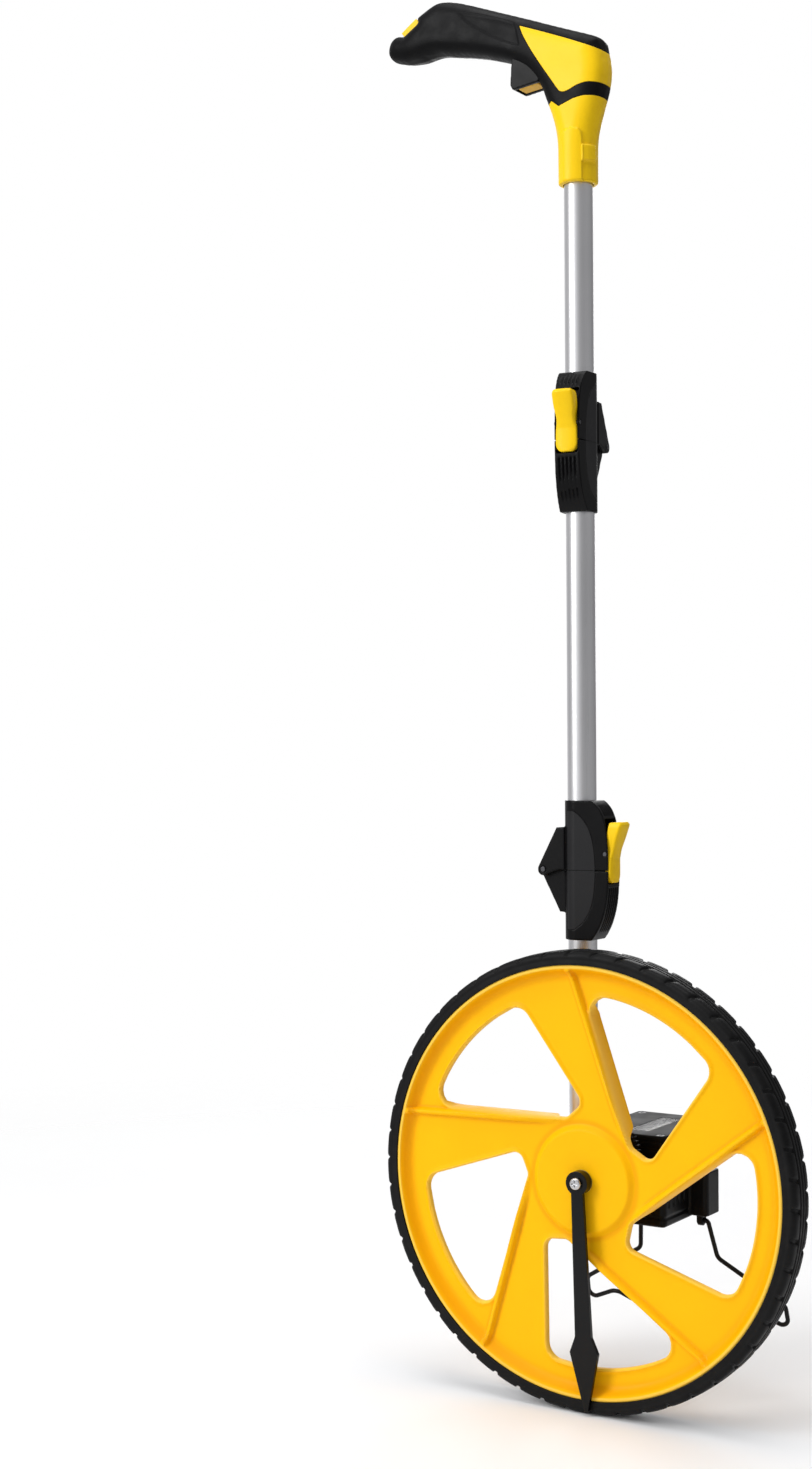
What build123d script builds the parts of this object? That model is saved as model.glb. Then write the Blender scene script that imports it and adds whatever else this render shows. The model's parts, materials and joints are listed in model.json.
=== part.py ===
from build123d import *
import os
from math import cos, sin, pi, radians, degrees, atan2, hypot

# Folding measuring wheel. Millimetres, +Z up, ground at z = 0, origin where the tyre
# meets the ground. The wheel turns about Y; -Y is the pointer side, +Y the counter side.

# ---- driving dimensions -------------------------------------------------------------
WHEEL_TRAVEL = 1000.0                     # distance rolled in one turn
TYRE_R = WHEEL_TRAVEL / (2 * pi)
AXLE_Z = TYRE_R
RIM_R = 149.5                             # rim's outer radius under the tyre
RIM_HALF = 12.0                           # half width of the rim
TYRE_HALF = 12.5                          # half width of the tyre
WEB_FRONT = 4.5                           # web's front face, ahead of the wheel's middle
WEB_THICK = 3.5
HUB_R = 38.0
HUB_FRONT = 8.0
BARREL_R = 19.0
SPOKES = 5
SPOKE_R = 137.0                           # spokes end in the rim here
TREAD_BLOCKS = 50

AXLE_R = 4.0
STUB_R = 2.5                              # reduced front end that carries the pointer
RUN = 0.05                                # radial clearance of a running fit
GAP = 0.3                                 # air between moving neighbours

POINTER_LENGTH = 156.0
POINTER_TILT = 2.4                        # hangs this far off plumb, tip towards +X
POINTER_BACK = -13.0                      # pointer blade lies between these two planes
POINTER_FRONT = -16.0

TUBE_R = 10.4
TUBE_WALL = 1.2
TUBE_X = -30.0
TUBE_Y = 52.0

JOINT_HALF = 50.0                         # each fold joint reaches this far from its split
LOWER_JOINT_Z = 370.0
UPPER_JOINT_Z = 677.0
UPPER_JOINT_TURN = -84.0                  # upper latch looks to the front, slightly right
JOINT_R = 12.4
NOSE_X = 25.4
HINGE_X = -26.5
EAR_R = 4.5
TUBE_STOP = 4.0                           # tubes end this far from a joint's split

SLEEVE_BOTTOM = 863.0
HANDLE_HALF = 15.5                        # half width of the handle across Y

BOX_X = (-16.0, 46.0)                     # counter housing
BOX_Y = (27.0, 112.0)
BOX_Z = (125.0, 188.5)
COVER_Z = 184.0                           # cover sits on the housing here
WALL = 2.4

GEAR_TEETH = 28
GEAR_MODULE = 1.0
DRUM_X = 19.0
DRUM_Z = AXLE_Z + (GEAR_TEETH ** 2 * GEAR_MODULE ** 2 - DRUM_X ** 2) ** 0.5
DRUM_R = 6.6
DRUM_PITCH = 9.0
DRUMS_FROM = 46.0
DRUMS = 5
DRUM_SHAFT_R = 1.5

STAND_X = 27.6                            # kickstand: middle, hinge line and wire
STAND_Y = 80.0
STAND_Z = 121.5
STAND_WIRE_R = 1.6
STAND_LEAN = 15.0

os.makedirs("parts", exist_ok=True)


# ---- helpers ------------------------------------------------------------------------
def save(name, shape):
    export_step(shape, f"parts/{name}.step")


def group(solids):
    return Compound(children=list(solids))


def block(x, y, z):
    """Box from three (low, high) pairs."""
    low = Vector(x[0], y[0], z[0])
    size = Vector(x[1], y[1], z[1]) - low
    return Pos(*(low + size * 0.5)) * Box(size.X, size.Y, size.Z)


def rod_y(r, y0, y1, x=0.0, z=AXLE_Z):
    return Pos(x, (y0 + y1) / 2, z) * Rot(90, 0, 0) * Cylinder(r, y1 - y0)


def rod_x(r, x0, x1, y, z):
    return Pos((x0 + x1) / 2, y, z) * Rot(0, 90, 0) * Cylinder(r, x1 - x0)


def rod_z(r, z0, z1, x=0.0, y=0.0):
    return Pos(x, y, (z0 + z1) / 2) * Cylinder(r, z1 - z0)


def side_face(points):
    """Closed polygon in the XZ plane."""
    return make_face(Polyline(*[(x, 0, z) for x, z in points], close=True))


def side_prism(points, y0, y1):
    return Pos(0, y0, 0) * extrude(side_face(points), amount=y1 - y0, dir=(0, 1, 0))


def on_wheel(shape):
    """Wheel pieces are drawn about Z with their front up, then turned to the axle."""
    return Pos(0, 0, AXLE_Z) * Rot(90, 0, 0) * shape


def around(shape, count=SPOKES):
    return [Rot(0, 0, 360 / count * k) * shape for k in range(count)]


def ring(r_out, r_in, z0, z1):
    return rod_z(r_out, z0, z1) - rod_z(r_in, z0 - 1, z1 + 1)


def spun(points):
    """Revolve a closed (radius, height) outline about Z."""
    return revolve(side_face(points), axis=Axis.Z, revolution_arc=360)


def hexagon_y(across, y0, y1, x, z):
    nut = extrude(RegularPolygon(across / 2 / cos(pi / 6), 6), amount=y1 - y0)
    return Pos(x, y1, z) * Rot(90, 0, 0) * nut


def gear(teeth, module, thickness, bore_r):
    """Spur gear about Z, with slim straight-sided teeth, one of them on +X."""
    pitch = 2 * pi / teeth
    root_r = module * (teeth / 2 - 1.3)
    tip_r = module * (teeth / 2 + 0.85)
    flank = [(root_r, -0.26), (tip_r, -0.12), (tip_r, 0.12), (root_r, 0.26)]
    points = []
    for tooth in range(teeth):
        for r, share in flank:
            angle = pitch * (tooth + share)
            points.append((r * cos(angle), r * sin(angle)))
    wheel = extrude(make_face(Polyline(*points, close=True)), amount=thickness)
    return wheel - rod_z(bore_r, -1, thickness + 1)


# ---- wheel --------------------------------------------------------------------------
WINDOW = [(1.5, 128.6), (36.0, 26.1), (50.5, 17.3), (98.0, 84.2)]
RIB = [(-8.9, 144.7), (32.0, 30.0)]


def window_face(grow=0.0):
    """One swirl window: two straight sides, a curved outer side, rounded corners."""
    start, inner_a, inner_b, end = WINDOW
    sides = Polyline(start, inner_a, inner_b, end)
    mid = degrees(atan2(start[1] + end[1], start[0] + end[0]))
    r = hypot(*start)
    crown = ThreePointArc(end, (r * cos(radians(mid)), r * sin(radians(mid))), start)
    face = make_face([sides, crown])
    inner = [v for v in face.vertices() if hypot(v.X, v.Y) < 100]
    face = fillet(inner, 6.5)
    outer = [v for v in face.vertices() if hypot(v.X, v.Y) > 120]
    face = fillet(outer, 11)
    return offset(face, amount=grow) if grow else face


def spoke_wall():
    """Deep wall behind the web, along the side of each window that the rib follows."""
    (ax, ay), (bx, by) = WINDOW[:2]
    length = hypot(bx - ax, by - ay)
    turn = degrees(atan2(by - ay, bx - ax))
    zone = Pos((ax + bx) / 2, (ay + by) / 2, 0) * Rot(0, 0, turn) * Box(length - 16, 10, 30)
    return (Pos(0, 0, -8) * extrude(window_face(2.4), amount=8 + WEB_FRONT)) & zone


def whole_wheel():
    """Rim, spokes and hub as one moulding, lying flat."""
    web_back = WEB_FRONT - WEB_THICK
    section = [
        (RIM_R, -RIM_HALF), (RIM_R, -4), (RIM_R - 2.5, -4), (RIM_R - 2.5, 4), (RIM_R, 4),
        (RIM_R, RIM_HALF), (RIM_R - 3.2, RIM_HALF), (RIM_R - 5.6, WEB_FRONT),
        (BARREL_R - 2, WEB_FRONT), (BARREL_R - 2, web_back), (RIM_R - 5.6, web_back),
        (RIM_R - 3.2, -RIM_HALF),
    ]
    wheel = spun(section)
    hole = window_face()
    lip = Pos(0, 0, web_back) * extrude(window_face(2.4), amount=WEB_THICK + 1.2)
    wheel += around(lip)
    wheel += around(spoke_wall())
    wheel += rod_z(HUB_R, web_back, HUB_FRONT)
    wheel += rod_z(BARREL_R, -RIM_HALF, HUB_FRONT)
    wheel += ring(HUB_R, HUB_R - 2.5, -8, web_back)
    (ax, ay), (bx, by) = RIB
    length = hypot(bx - ax, by - ay)
    turn = degrees(atan2(by - ay, bx - ax))
    bar = Box(length, 3.4, 4.4)
    bar = fillet(bar.edges().filter_by(Axis.X).group_by(Axis.Z)[-1], 1.2)
    rib = Pos((ax + bx) / 2, (ay + by) / 2, WEB_FRONT + 1.9) * Rot(0, 0, turn) * bar
    wheel += around(rib)
    hole = Pos(0, 0, -20) * extrude(hole, amount=40)
    wheel -= around(hole)
    return wheel - rod_z(BUSH_R, -20, 20)


def spoke_sector():
    """Everything between the middles of two windows next to each other."""
    start, inner_a, inner_b, end = WINDOW
    inner = ((inner_a[0] + inner_b[0]) / 2, (inner_a[1] + inner_b[1]) / 2)
    outer = ((start[0] + end[0]) / 2, (start[1] + end[1]) / 2)
    side = [inner, outer, (outer[0] * 2, outer[1] * 2)]
    turned = []
    for x, y in reversed(side):
        r = hypot(x, y)
        angle = atan2(y, x) + 2 * pi / SPOKES
        turned.append((r * cos(angle), r * sin(angle)))
    middle = atan2(outer[1], outer[0]) + pi / SPOKES
    far = (300 * cos(middle), 300 * sin(middle))
    face = make_face(Polyline((0, 0), *side, far, *turned, close=True))
    return Pos(0, 0, -20) * extrude(face, amount=40)


def wheel_pieces():
    """Rim, hub and five spokes: they meet face to face."""
    wheel = whole_wheel()
    rim_band = wheel - rod_z(SPOKE_R, -20, 20)
    hub = wheel & rod_z(HUB_R, -20, 20)
    web = (wheel & rod_z(SPOKE_R, -20, 20)) - rod_z(HUB_R, -20, 20)
    spoke = web & spoke_sector()
    save("rim", on_wheel(rim_band))
    save("wheel_hub", on_wheel(hub))
    save("wheel_spokes", group([on_wheel(s) for s in around(spoke)]))


BUSH_R = 8.0
BUSH_LENGTH = 6.0


def hub_bushes():
    bush = ring(BUSH_R, AXLE_R + RUN, 0, BUSH_LENGTH)
    front = Pos(0, 0, HUB_FRONT - BUSH_LENGTH) * bush
    rear = Pos(0, 0, -RIM_HALF) * bush
    return group([on_wheel(front), on_wheel(rear)])


def tyre():
    shoulder = TYRE_R - 2.2
    section = [
        (RIM_R, -TYRE_HALF), (shoulder, -TYRE_HALF), (TYRE_R, -TYRE_HALF + 2.6),
        (TYRE_R, TYRE_HALF - 2.6), (shoulder, TYRE_HALF), (RIM_R, TYRE_HALF),
        (RIM_R, 4), (RIM_R - 2.5, 4), (RIM_R - 2.5, -4), (RIM_R, -4),
    ]
    ring_solid = spun(section)
    notch = Pos(TYRE_R, 0, TYRE_HALF - 2) * Box(6.0, 2.6, 8)
    quarter_pitch = 90 / TREAD_BLOCKS
    front = around(Rot(0, 0, quarter_pitch) * notch, TREAD_BLOCKS)
    back = [Rot(0, 0, 2 * quarter_pitch) * mirror(n, Plane.XY) for n in front]
    return on_wheel(ring_solid - front - back)


def hub_gear():
    line = degrees(atan2(DRUM_Z - AXLE_Z, DRUM_X))
    turned = Rot(0, 0, line) * gear(GEAR_TEETH, GEAR_MODULE, 4, 8.5)
    return Pos(0, 16, AXLE_Z) * Rot(90, 0, 0) * turned


# ---- axle and pointer ---------------------------------------------------------------
def axle():
    shaft = rod_y(AXLE_R, -9.1, 66) + rod_y(STUB_R, -16.2, -9.0)
    return shaft - rod_y(1.6, -16.3, -8)


def axle_circlip():
    clip = rod_y(6.3, -9.1, -8.3) - rod_y(AXLE_R, -10, -8)
    return clip - block((-1.6, 1.6), (-10, -8), (AXLE_Z - 8, AXLE_Z - 3))


def pointer():
    tip = -POINTER_LENGTH
    outline = [
        (-4.3, 0), (-6.2, -105), (-10.8, -116), (-1.2, tip), (1.2, tip),
        (10.8, -116), (6.2, -105), (4.3, 0),
    ]
    outline = [(x, AXLE_Z + z) for x, z in outline]
    blade = side_prism(outline, POINTER_FRONT, POINTER_BACK)
    arm = blade + rod_y(8.2, POINTER_FRONT, -9.4)
    arm = arm - rod_y(STUB_R + RUN, -20, 0)
    return Pos(0, 0, AXLE_Z) * Rot(0, -POINTER_TILT, 0) * Pos(0, 0, -AXLE_Z) * arm


def pointer_screw():
    head = rod_y(4.2, -18.8, -16.35)
    head = fillet(head.edges().group_by(Axis.Y)[0], 1.3)
    slot_a = block((-2.4, 2.4), (-19, -17.7), (AXLE_Z - 0.5, AXLE_Z + 0.5))
    slot_b = block((-0.5, 0.5), (-19, -17.7), (AXLE_Z - 2.4, AXLE_Z + 2.4))
    return head - slot_a - slot_b + rod_y(1.6, -16.4, -9)


def axle_nut():
    return hexagon_y(13, 58, 64, 0, AXLE_Z) - rod_y(AXLE_R, 50, 70)


# ---- counter housing ----------------------------------------------------------------
SIDE_BLOCK = ((BOX_X[1] - 1, 60.0), (66.0, 88.0), (127.0, 158.0))
LUG_WIDE = 4.5
LUG_OUT = 19.0                            # lugs start this far from the stand's middle
SCREW_SPOTS = [(-10.5, 32.5), (40.5, 32.5), (-10.5, 106.5), (40.5, 106.5)]


def counter_housing():
    low = BOX_Z[0]
    shell = block(BOX_X, BOX_Y, (low, COVER_Z))
    shell = fillet(shell.edges().filter_by(Axis.Z), 4)
    shell = chamfer(shell.edges().group_by(Axis.Z)[0], 1.5)
    inner_x = (BOX_X[0] + WALL, BOX_X[1] - WALL)
    inner_y = (BOX_Y[0] + WALL, BOX_Y[1] - WALL)
    shell -= block(inner_x, inner_y, (low + WALL, COVER_Z + 1))
    side = block(*SIDE_BLOCK)
    side = fillet(side.edges().filter_by(Axis.Z).group_by(Axis.X)[-1], 3)
    shell += side
    socket = rod_z(TUBE_R + 3, 120, COVER_Z, TUBE_X, TUBE_Y)
    bridge = block((TUBE_X, BOX_X[0] + 1), (TUBE_Y - 9, TUBE_Y + 9), (122, COVER_Z))
    shell += socket
    shell += bridge
    shell += rod_y(9, BOX_Y[0], 58)
    shell += rod_y(6.6, 12.4, BOX_Y[0] + 1)
    for x, y in SCREW_SPOTS:
        shell += rod_z(3.2, low + 1, COVER_Z, x, y)
    for lug in stand_lugs():
        shell += lug
    shell -= rod_z(TUBE_R, 122.4, COVER_Z + 1, TUBE_X, TUBE_Y)
    shell -= rod_y(AXLE_R, 0, 70)
    shell -= rod_y(3.4, 20, 35, DRUM_X, DRUM_Z)
    shell -= rod_x(4.2, 40, 50, RESET_Y, RESET_Z)
    shell -= rod_x(STAND_WIRE_R + RUN, STAND_X - 26, STAND_X + 26, STAND_Y, STAND_Z)
    for x, y in SCREW_SPOTS:
        shell -= rod_z(1.3, COVER_Z - 14, COVER_Z + 1, x, y)
    return shell


def stand_lugs():
    lugs = []
    for side in (-1, 1):
        near = STAND_X + side * LUG_OUT
        far = near + side * LUG_WIDE
        span = (min(near, far), max(near, far))
        ear = block(span, (STAND_Y - 4, STAND_Y + 4), (STAND_Z, 129))
        lugs.append(ear + rod_x(4, span[0], span[1], STAND_Y, STAND_Z))
    return lugs


WINDOW_X = (DRUM_X - 5.5, DRUM_X + 5.5)
WINDOW_Y = (DRUMS_FROM - 2, DRUMS_FROM + DRUMS * DRUM_PITCH + 1)


def counter_cover():
    top = BOX_Z[1]
    lid = block(BOX_X, BOX_Y, (COVER_Z, top))
    lid = fillet(lid.edges().filter_by(Axis.Z), 4)
    lid = fillet(lid.edges().group_by(Axis.Z)[-1], 1.5)
    grow = 2.0
    seat_x = (WINDOW_X[0] - grow, WINDOW_X[1] + grow)
    seat_y = (WINDOW_Y[0] - grow, WINDOW_Y[1] + grow)
    lid -= block(seat_x, seat_y, (top - 1.6, top + 1))
    lid -= block(WINDOW_X, WINDOW_Y, (COVER_Z - 1, top + 1))
    for x, y in SCREW_SPOTS:
        lid -= rod_z(1.7, COVER_Z - 1, top + 1, x, y)
        lid -= rod_z(3.0, top - 1.6, top + 1, x, y)
    return lid


def counter_window():
    top = BOX_Z[1]
    grow = 2.0
    x = (WINDOW_X[0] - grow, WINDOW_X[1] + grow)
    y = (WINDOW_Y[0] - grow, WINDOW_Y[1] + grow)
    return block(x, y, (top - 1.6, top - 0.1))


def cover_screws():
    top = BOX_Z[1]
    screws = []
    for x, y in SCREW_SPOTS:
        head = rod_z(2.9, top - 1.6, top - 0.2, x, y)
        head -= block((x - 2, x + 2), (y - 0.4, y + 0.4), (top - 0.9, top))
        head -= block((x - 0.4, x + 0.4), (y - 2, y + 2), (top - 0.9, top))
        screws.append(head + rod_z(1.3, COVER_Z - 12, top - 1.5, x, y))
    return group(screws)


# ---- counter mechanism --------------------------------------------------------------
RESET_Y = 44.0
RESET_Z = 160.0
TRANSFER_Z = DRUM_Z - DRUM_R - 3.3


def counter_pinion():
    line = degrees(atan2(DRUM_Z - AXLE_Z, DRUM_X))
    half_tooth = 180 / GEAR_TEETH
    wheel = Rot(0, 0, line + 180 + half_tooth) * gear(GEAR_TEETH, GEAR_MODULE, 4, 1.55)
    wheel = Pos(DRUM_X, 16, DRUM_Z) * Rot(90, 0, 0) * wheel
    sleeve = rod_y(3.2, 15.9, DRUMS_FROM, DRUM_X, DRUM_Z)
    return wheel + (sleeve - rod_y(DRUM_SHAFT_R + RUN, 10, 60, DRUM_X, DRUM_Z))


def digit_drum(place):
    start = DRUMS_FROM + place * DRUM_PITCH
    drum = rod_y(DRUM_R, start, start + DRUM_PITCH - 0.6, DRUM_X, DRUM_Z)
    return drum - rod_y(DRUM_SHAFT_R + RUN, start - 1, start + 10, DRUM_X, DRUM_Z)


def drum_shaft():
    return rod_y(DRUM_SHAFT_R, 11.5, BOX_Y[1] - WALL, DRUM_X, DRUM_Z)


def transfer_shaft():
    return rod_y(1.0, BOX_Y[0] + WALL, BOX_Y[1] - WALL, DRUM_X, TRANSFER_Z)


def transfer_pinions():
    pinions = []
    for place in range(1, DRUMS):
        pinion = gear(8, 0.55, 3.0, 1.0 + RUN)
        y = DRUMS_FROM + place * DRUM_PITCH + 1.2
        pinions.append(Pos(DRUM_X, y, TRANSFER_Z) * Rot(90, 0, 0) * pinion)
    return group(pinions)


def reset_button():
    cap = rod_x(4.0, BOX_X[1] - 5.5, BOX_X[1] + 4.0, RESET_Y, RESET_Z)
    cap = fillet(cap.edges().group_by(Axis.X)[-1], 1.0)
    flange = rod_x(5.5, BOX_X[1] - 5.5, BOX_X[1] - WALL - 0.2, RESET_Y, RESET_Z)
    return cap + flange


# ---- kickstand ----------------------------------------------------------------------
STAND_HALF = [(19.2, 0), (26.4, 0), (30.4, 28.5), (78.5, 59), (79.5, 77), (56, 66.5), (40, 73.5)]
STAND_BENDS = [3.0, 7.0, 6.0, 5.0, 12.0, 25.0]


def kickstand():
    right = [(STAND_X + s, -t) for s, t in STAND_HALF]
    left = [(STAND_X - s, -t) for s, t in reversed(STAND_HALF)]
    lean = Rot(STAND_LEAN, 0, 0)
    points = []
    for x, drop in right + left:
        points.append(Pos(0, STAND_Y, STAND_Z) * lean * Pos(x, 0, drop))
    corners = [p.position for p in points]
    path = FilletPolyline(*corners, radius=STAND_BENDS + STAND_BENDS[::-1])
    section = Plane(origin=path @ 0, z_dir=path % 0) * Circle(STAND_WIRE_R)
    return sweep(section, path=path)


# ---- tubes --------------------------------------------------------------------------
def tube(z0, z1):
    outer = rod_z(TUBE_R, z0, z1, TUBE_X, TUBE_Y)
    return outer - rod_z(TUBE_R - TUBE_WALL, z0 - 1, z1 + 1, TUBE_X, TUBE_Y)


# ---- fold joints --------------------------------------------------------------------
# Drawn with the tube on Z, the split at z = 0, the latch on +X and the hinge on -X.
LATCH_HALF = 8.0
LATCH_PIN = (23.0, 12.0)
LATCH_PIN_R = 1.5
PANEL_DEEP = 1.0


def joint_body():
    back = -JOINT_R
    top = JOINT_HALF
    edge = Spline((JOINT_R, top), (20.6, 41), (24.4, 25), (NOSE_X, 0),
                  (24.2, -20), (19.6, -38), (JOINT_R, -top))
    rest = Polyline((JOINT_R, -top), (back, -top), (back, top), (JOINT_R, top))
    profile = Rot(90, 0, 0) * make_face([edge, rest])
    side = extrude(profile, amount=JOINT_R + 1, both=True, dir=(0, 1, 0))
    round_back = ThreePointArc((0, JOINT_R), (-JOINT_R, 0), (0, -JOINT_R))
    nose = Polyline((0, -JOINT_R), (NOSE_X + 1, -9.2), (NOSE_X + 1, 9.2), (0, JOINT_R))
    plan = make_face([round_back, nose])
    plan = Pos(0, 0, -top) * extrude(plan, amount=2 * top)
    body = side & plan
    return body


def panel_outline(shrink=0.0):
    """Inset side panel: straight at the back, curved on the latch side."""
    reach = 42.5 - shrink
    bulge = 15.0 - shrink
    curve = Spline((-1, reach), (9.5, 32), (bulge, 12), (bulge, -12), (9.5, -32), (-1, -reach))
    rest = Polyline((-1, -reach), (-7 + shrink, -reach), (-7 + shrink, reach), (-1, reach))
    return Rot(90, 0, 0) * make_face([curve, rest])


def panel_solid(shrink=0.0):
    """Both side panels of a whole joint, as plates that follow the tapered walls."""
    plate = extrude(panel_outline(shrink), amount=20, both=True, dir=(0, 1, 0))
    skin = joint_body()
    inside = scale(joint_body(), by=(1, (JOINT_R - PANEL_DEEP) / JOINT_R, 1))
    return plate & (skin - inside)


def ear_outline(sign):
    return [(-9, sign * GAP / 2), (-9, sign * 31), (-15.5, sign * 30.5),
            (HINGE_X - EAR_R * 0.9, sign * EAR_R * 0.45), (HINGE_X, -sign * EAR_R * 0.95),
            (-JOINT_R - 0.8, sign * GAP / 2)]


def ear(sign, y0, y1):
    shape = side_prism(ear_outline(sign), y0, y1)
    return shape + rod_y(EAR_R, y0, y1, HINGE_X, 0)


def half_space(sign):
    low, high = (GAP / 2, 60) if sign > 0 else (-60, -GAP / 2)
    return block((-60, 60), (-60, 60), (low, high))


TONGUE_HALF = 6.0
EAR_IN = 6.3
EAR_OUT = 10.8


def grip_ribs():
    """Fine upright grooves on the nose, above and below the latch."""
    cuts = []
    for y in (-6, -3, 0, 3, 6):
        cuts.append(block((NOSE_X - 9, NOSE_X + 5), (y - 0.55, y + 0.55), (-47, -12)))
        cuts.append(block((NOSE_X - 9, NOSE_X + 5), (y - 0.55, y + 0.55), (38.5, 49)))
    return cuts


def joint_core(sign):
    """Half of a joint: body, tube socket, latch pocket and panel recesses."""
    inner = scale(joint_body(), by=(0.94, 1, 1.0))
    body = joint_body()
    grooves = [cut - inner for cut in grip_ribs()]
    body -= [g for g in grooves if g.volume > 0.5]
    body = body & half_space(sign)
    body -= panel_solid()
    span = (TUBE_STOP, 60) if sign > 0 else (-60, -TUBE_STOP)
    body -= rod_z(TUBE_R, span[0], span[1])
    return body


def joint_lower_half():
    body = joint_core(-1)
    body += ear(-1, -TONGUE_HALF, TONGUE_HALF) - rod_z(TUBE_R, -60, -TUBE_STOP)
    pocket = block((19.4, 40), (-LATCH_HALF - GAP, LATCH_HALF + GAP), (-9.3, 1))
    catch = block((18, 21.6), (-5, 5), (-4.6, -GAP / 2))
    body -= pocket
    body += catch
    return body - rod_y(2.0, -20, 20, HINGE_X, 0)


def joint_upper_half():
    body = joint_core(1)
    body += ear(1, EAR_IN, EAR_OUT) - rod_z(TUBE_R, TUBE_STOP, 60)
    body += ear(1, -EAR_OUT, -EAR_IN) - rod_z(TUBE_R, TUBE_STOP, 60)
    body -= block((14.4, 40), (-LATCH_HALF - GAP, LATCH_HALF + GAP), (-1, 37))
    body -= rod_y(LATCH_PIN_R, -12, 12, *LATCH_PIN)
    return body - rod_y(2.0 + RUN, -20, 20, HINGE_X, 0)


def joint_pin():
    pin = rod_y(2.0, -11.4, 11.4, HINGE_X, 0)
    return fillet(pin.edges(), 0.5)


def joint_panels(sign):
    plates = panel_solid(0.15) & half_space(sign)
    return group(plates.solids())


def latch_lever():
    outline = [
        (27.6, -8.6), (27.8, 8), (29.6, 15), (35.8, 33), (34.6, 35), (25.5, 34.4),
        (20.8, 12), (22.0, 4), (22.2, -4.9), (20.2, -5.4), (20.2, -8.6),
    ]
    lever = side_prism(outline, -LATCH_HALF, LATCH_HALF)
    long_edges = lever.edges().filter_by(Axis.Z, tolerance=25)
    lever = fillet(long_edges.group_by(Axis.X)[-1], 1.2)
    lever -= block((18, 26.4), (-2.6, 2.6), (7.5, 16.5))
    return lever - rod_y(LATCH_PIN_R + RUN, -20, 20, *LATCH_PIN)


def latch_pin():
    return rod_y(LATCH_PIN_R, -9.8, 9.8, *LATCH_PIN)


def latch_spring():
    coils = []
    for turn in range(4):
        middle = -1.8 + turn * 1.2
        coil = rod_y(2.7, middle - 0.45, middle + 0.45, *LATCH_PIN)
        coils.append(coil - rod_y(LATCH_PIN_R, -5, 5, *LATCH_PIN))
    return group(coils)


def place_joint(shape, z, turn=0.0):
    return Pos(TUBE_X, TUBE_Y, z) * Rot(0, 0, turn) * shape


def save_joint(name, z, turn):
    pieces = {
        "joint_lower_half": joint_lower_half(), "joint_upper_half": joint_upper_half(),
        "joint_pin": joint_pin(), "latch_lever": latch_lever(), "latch_pin": latch_pin(),
        "latch_spring": latch_spring(), "joint_lower_panels": joint_panels(-1),
        "joint_upper_panels": joint_panels(1),
    }
    for piece, shape in pieces.items():
        save(f"{name}_{piece}", place_joint(shape, z, turn))


# ---- handle -------------------------------------------------------------------------
# Drawn with the tube's axis at x = 0, y = 0 and heights as on the whole object.
HANDLE_TOP = [(20, 966), (-13, 983.7), (-54, 1000), (-89, 1011.5), (-108, 1016.5),
              (-119, 1016), (-133.5, 1008)]
HANDLE_END = [(-147, 998.5), (-154, 998.5), (-160, 990), (-160, 983), (-150, 977)]
HANDLE_UNDER = [(-128, 976), (-116, 978.5), (-103, 976), (-82, 971.5), (-55, 963), (-34, 950)]
NECK_FRONT = [(-24, 928)]
NECK_BACK = [(22, 928), (24, 944)]
HEAD_PANEL = [(-41, 983), (16, 958), (40, 947.5), (40, 931.5), (14.5, 932.2), (6.5, 930.9),
              (-6.3, 928.4), (-23, 951.6), (-31, 964)]
BAND_LOW = [(-40, 928), (-26, 924.5), (-21.5, 920.5), (-14.5, 923.2), (-8, 918.2), (-3, 919.7),
            (11.7, 922.8), (40, 922)]


def handle_outline():
    return HANDLE_TOP + HANDLE_END + HANDLE_UNDER + NECK_FRONT + NECK_BACK


def handle_block():
    """Head and grip as one rounded solid."""
    solid = side_prism(handle_outline(), -HANDLE_HALF, HANDLE_HALF)
    rails = [e for e in solid.edges() if abs(e.center().Y) > HANDLE_HALF - 0.1]
    return chamfer(rails, 5.5)


def sleeve():
    """Round sleeve on the tube, flaring into the head."""
    flare = loft([
        Pos(0, 0, 896) * Ellipse(14.4, 14.4),
        Pos(0, 0, 912) * Ellipse(17.5, 14.8),
        Pos(0, 0, 929) * Ellipse(22.5, 15.2),
    ])
    collar = rod_z(14.6, SLEEVE_BOTTOM, 896)
    collar = fillet(collar.edges().group_by(Axis.Z)[0], 2.0)
    return collar + flare


def head_prism():
    return side_prism(HEAD_PANEL, -30, 30)


def lower_prism():
    outline = BAND_LOW + [(40, 850), (-50, 850)]
    return side_prism(outline, -30, 30)


def core_outline():
    """Narrow yellow core that runs inside the grip."""
    return [(0, 960), (-13, 976), (-54, 992), (-89, 1003), (-112, 1008), (-126, 1003),
            (-132, 992), (-120, 985), (-103, 983), (-82, 978), (-50, 970), (-30, 952),
            (-18, 936), (-18, 912), (14, 912), (14, 940)]


def handle_pieces():
    whole = handle_block() + sleeve()
    socket = rod_z(TUBE_R, 850, 938)
    core = side_prism(core_outline(), -HANDLE_HALF + 5, HANDLE_HALF - 5)
    yellow = (whole & lower_prism()) + (whole & core) + (whole & head_prism())
    cavity = side_prism([(-36, 958), (-58, 975), (-95, 986), (-95, 990), (-40, 974)], -6, 6)
    yellow = yellow - socket - cavity - inlay_seat() - trigger_room() - screw_holes()
    black = whole - yellow - socket - cavity - inlay_seat() - trigger_room() - screw_holes()
    front = yellow & block((-200, 60), (-40, -0.05), (800, 1100))
    rear = yellow & block((-200, 60), (0.05, 40), (800, 1100))
    return front, rear, black


INLAY = [(-133.5, 1009), (-148, 999), (-143, 993), (-129, 1002)]


def inlay_seat():
    return side_prism(INLAY, -7, 7)


def end_inlay():
    outline = [(-133.8, 1006.8), (-146.5, 998.2), (-143, 993.4), (-129.4, 1002)]
    return side_prism(outline, -6.9, 6.9)


HANDLE_SCREWS = [(-40, 976, 9.5), (-100, 995, 9.5), (0, 900, 11.2), (6, 944, 9.5)]


def screw_holes():
    holes = Part()
    for x, z, seat in HANDLE_SCREWS:
        holes += rod_y(1.4, -9, 25, x, z)
        holes += rod_y(2.9, seat, 25, x, z)
    return holes


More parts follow.
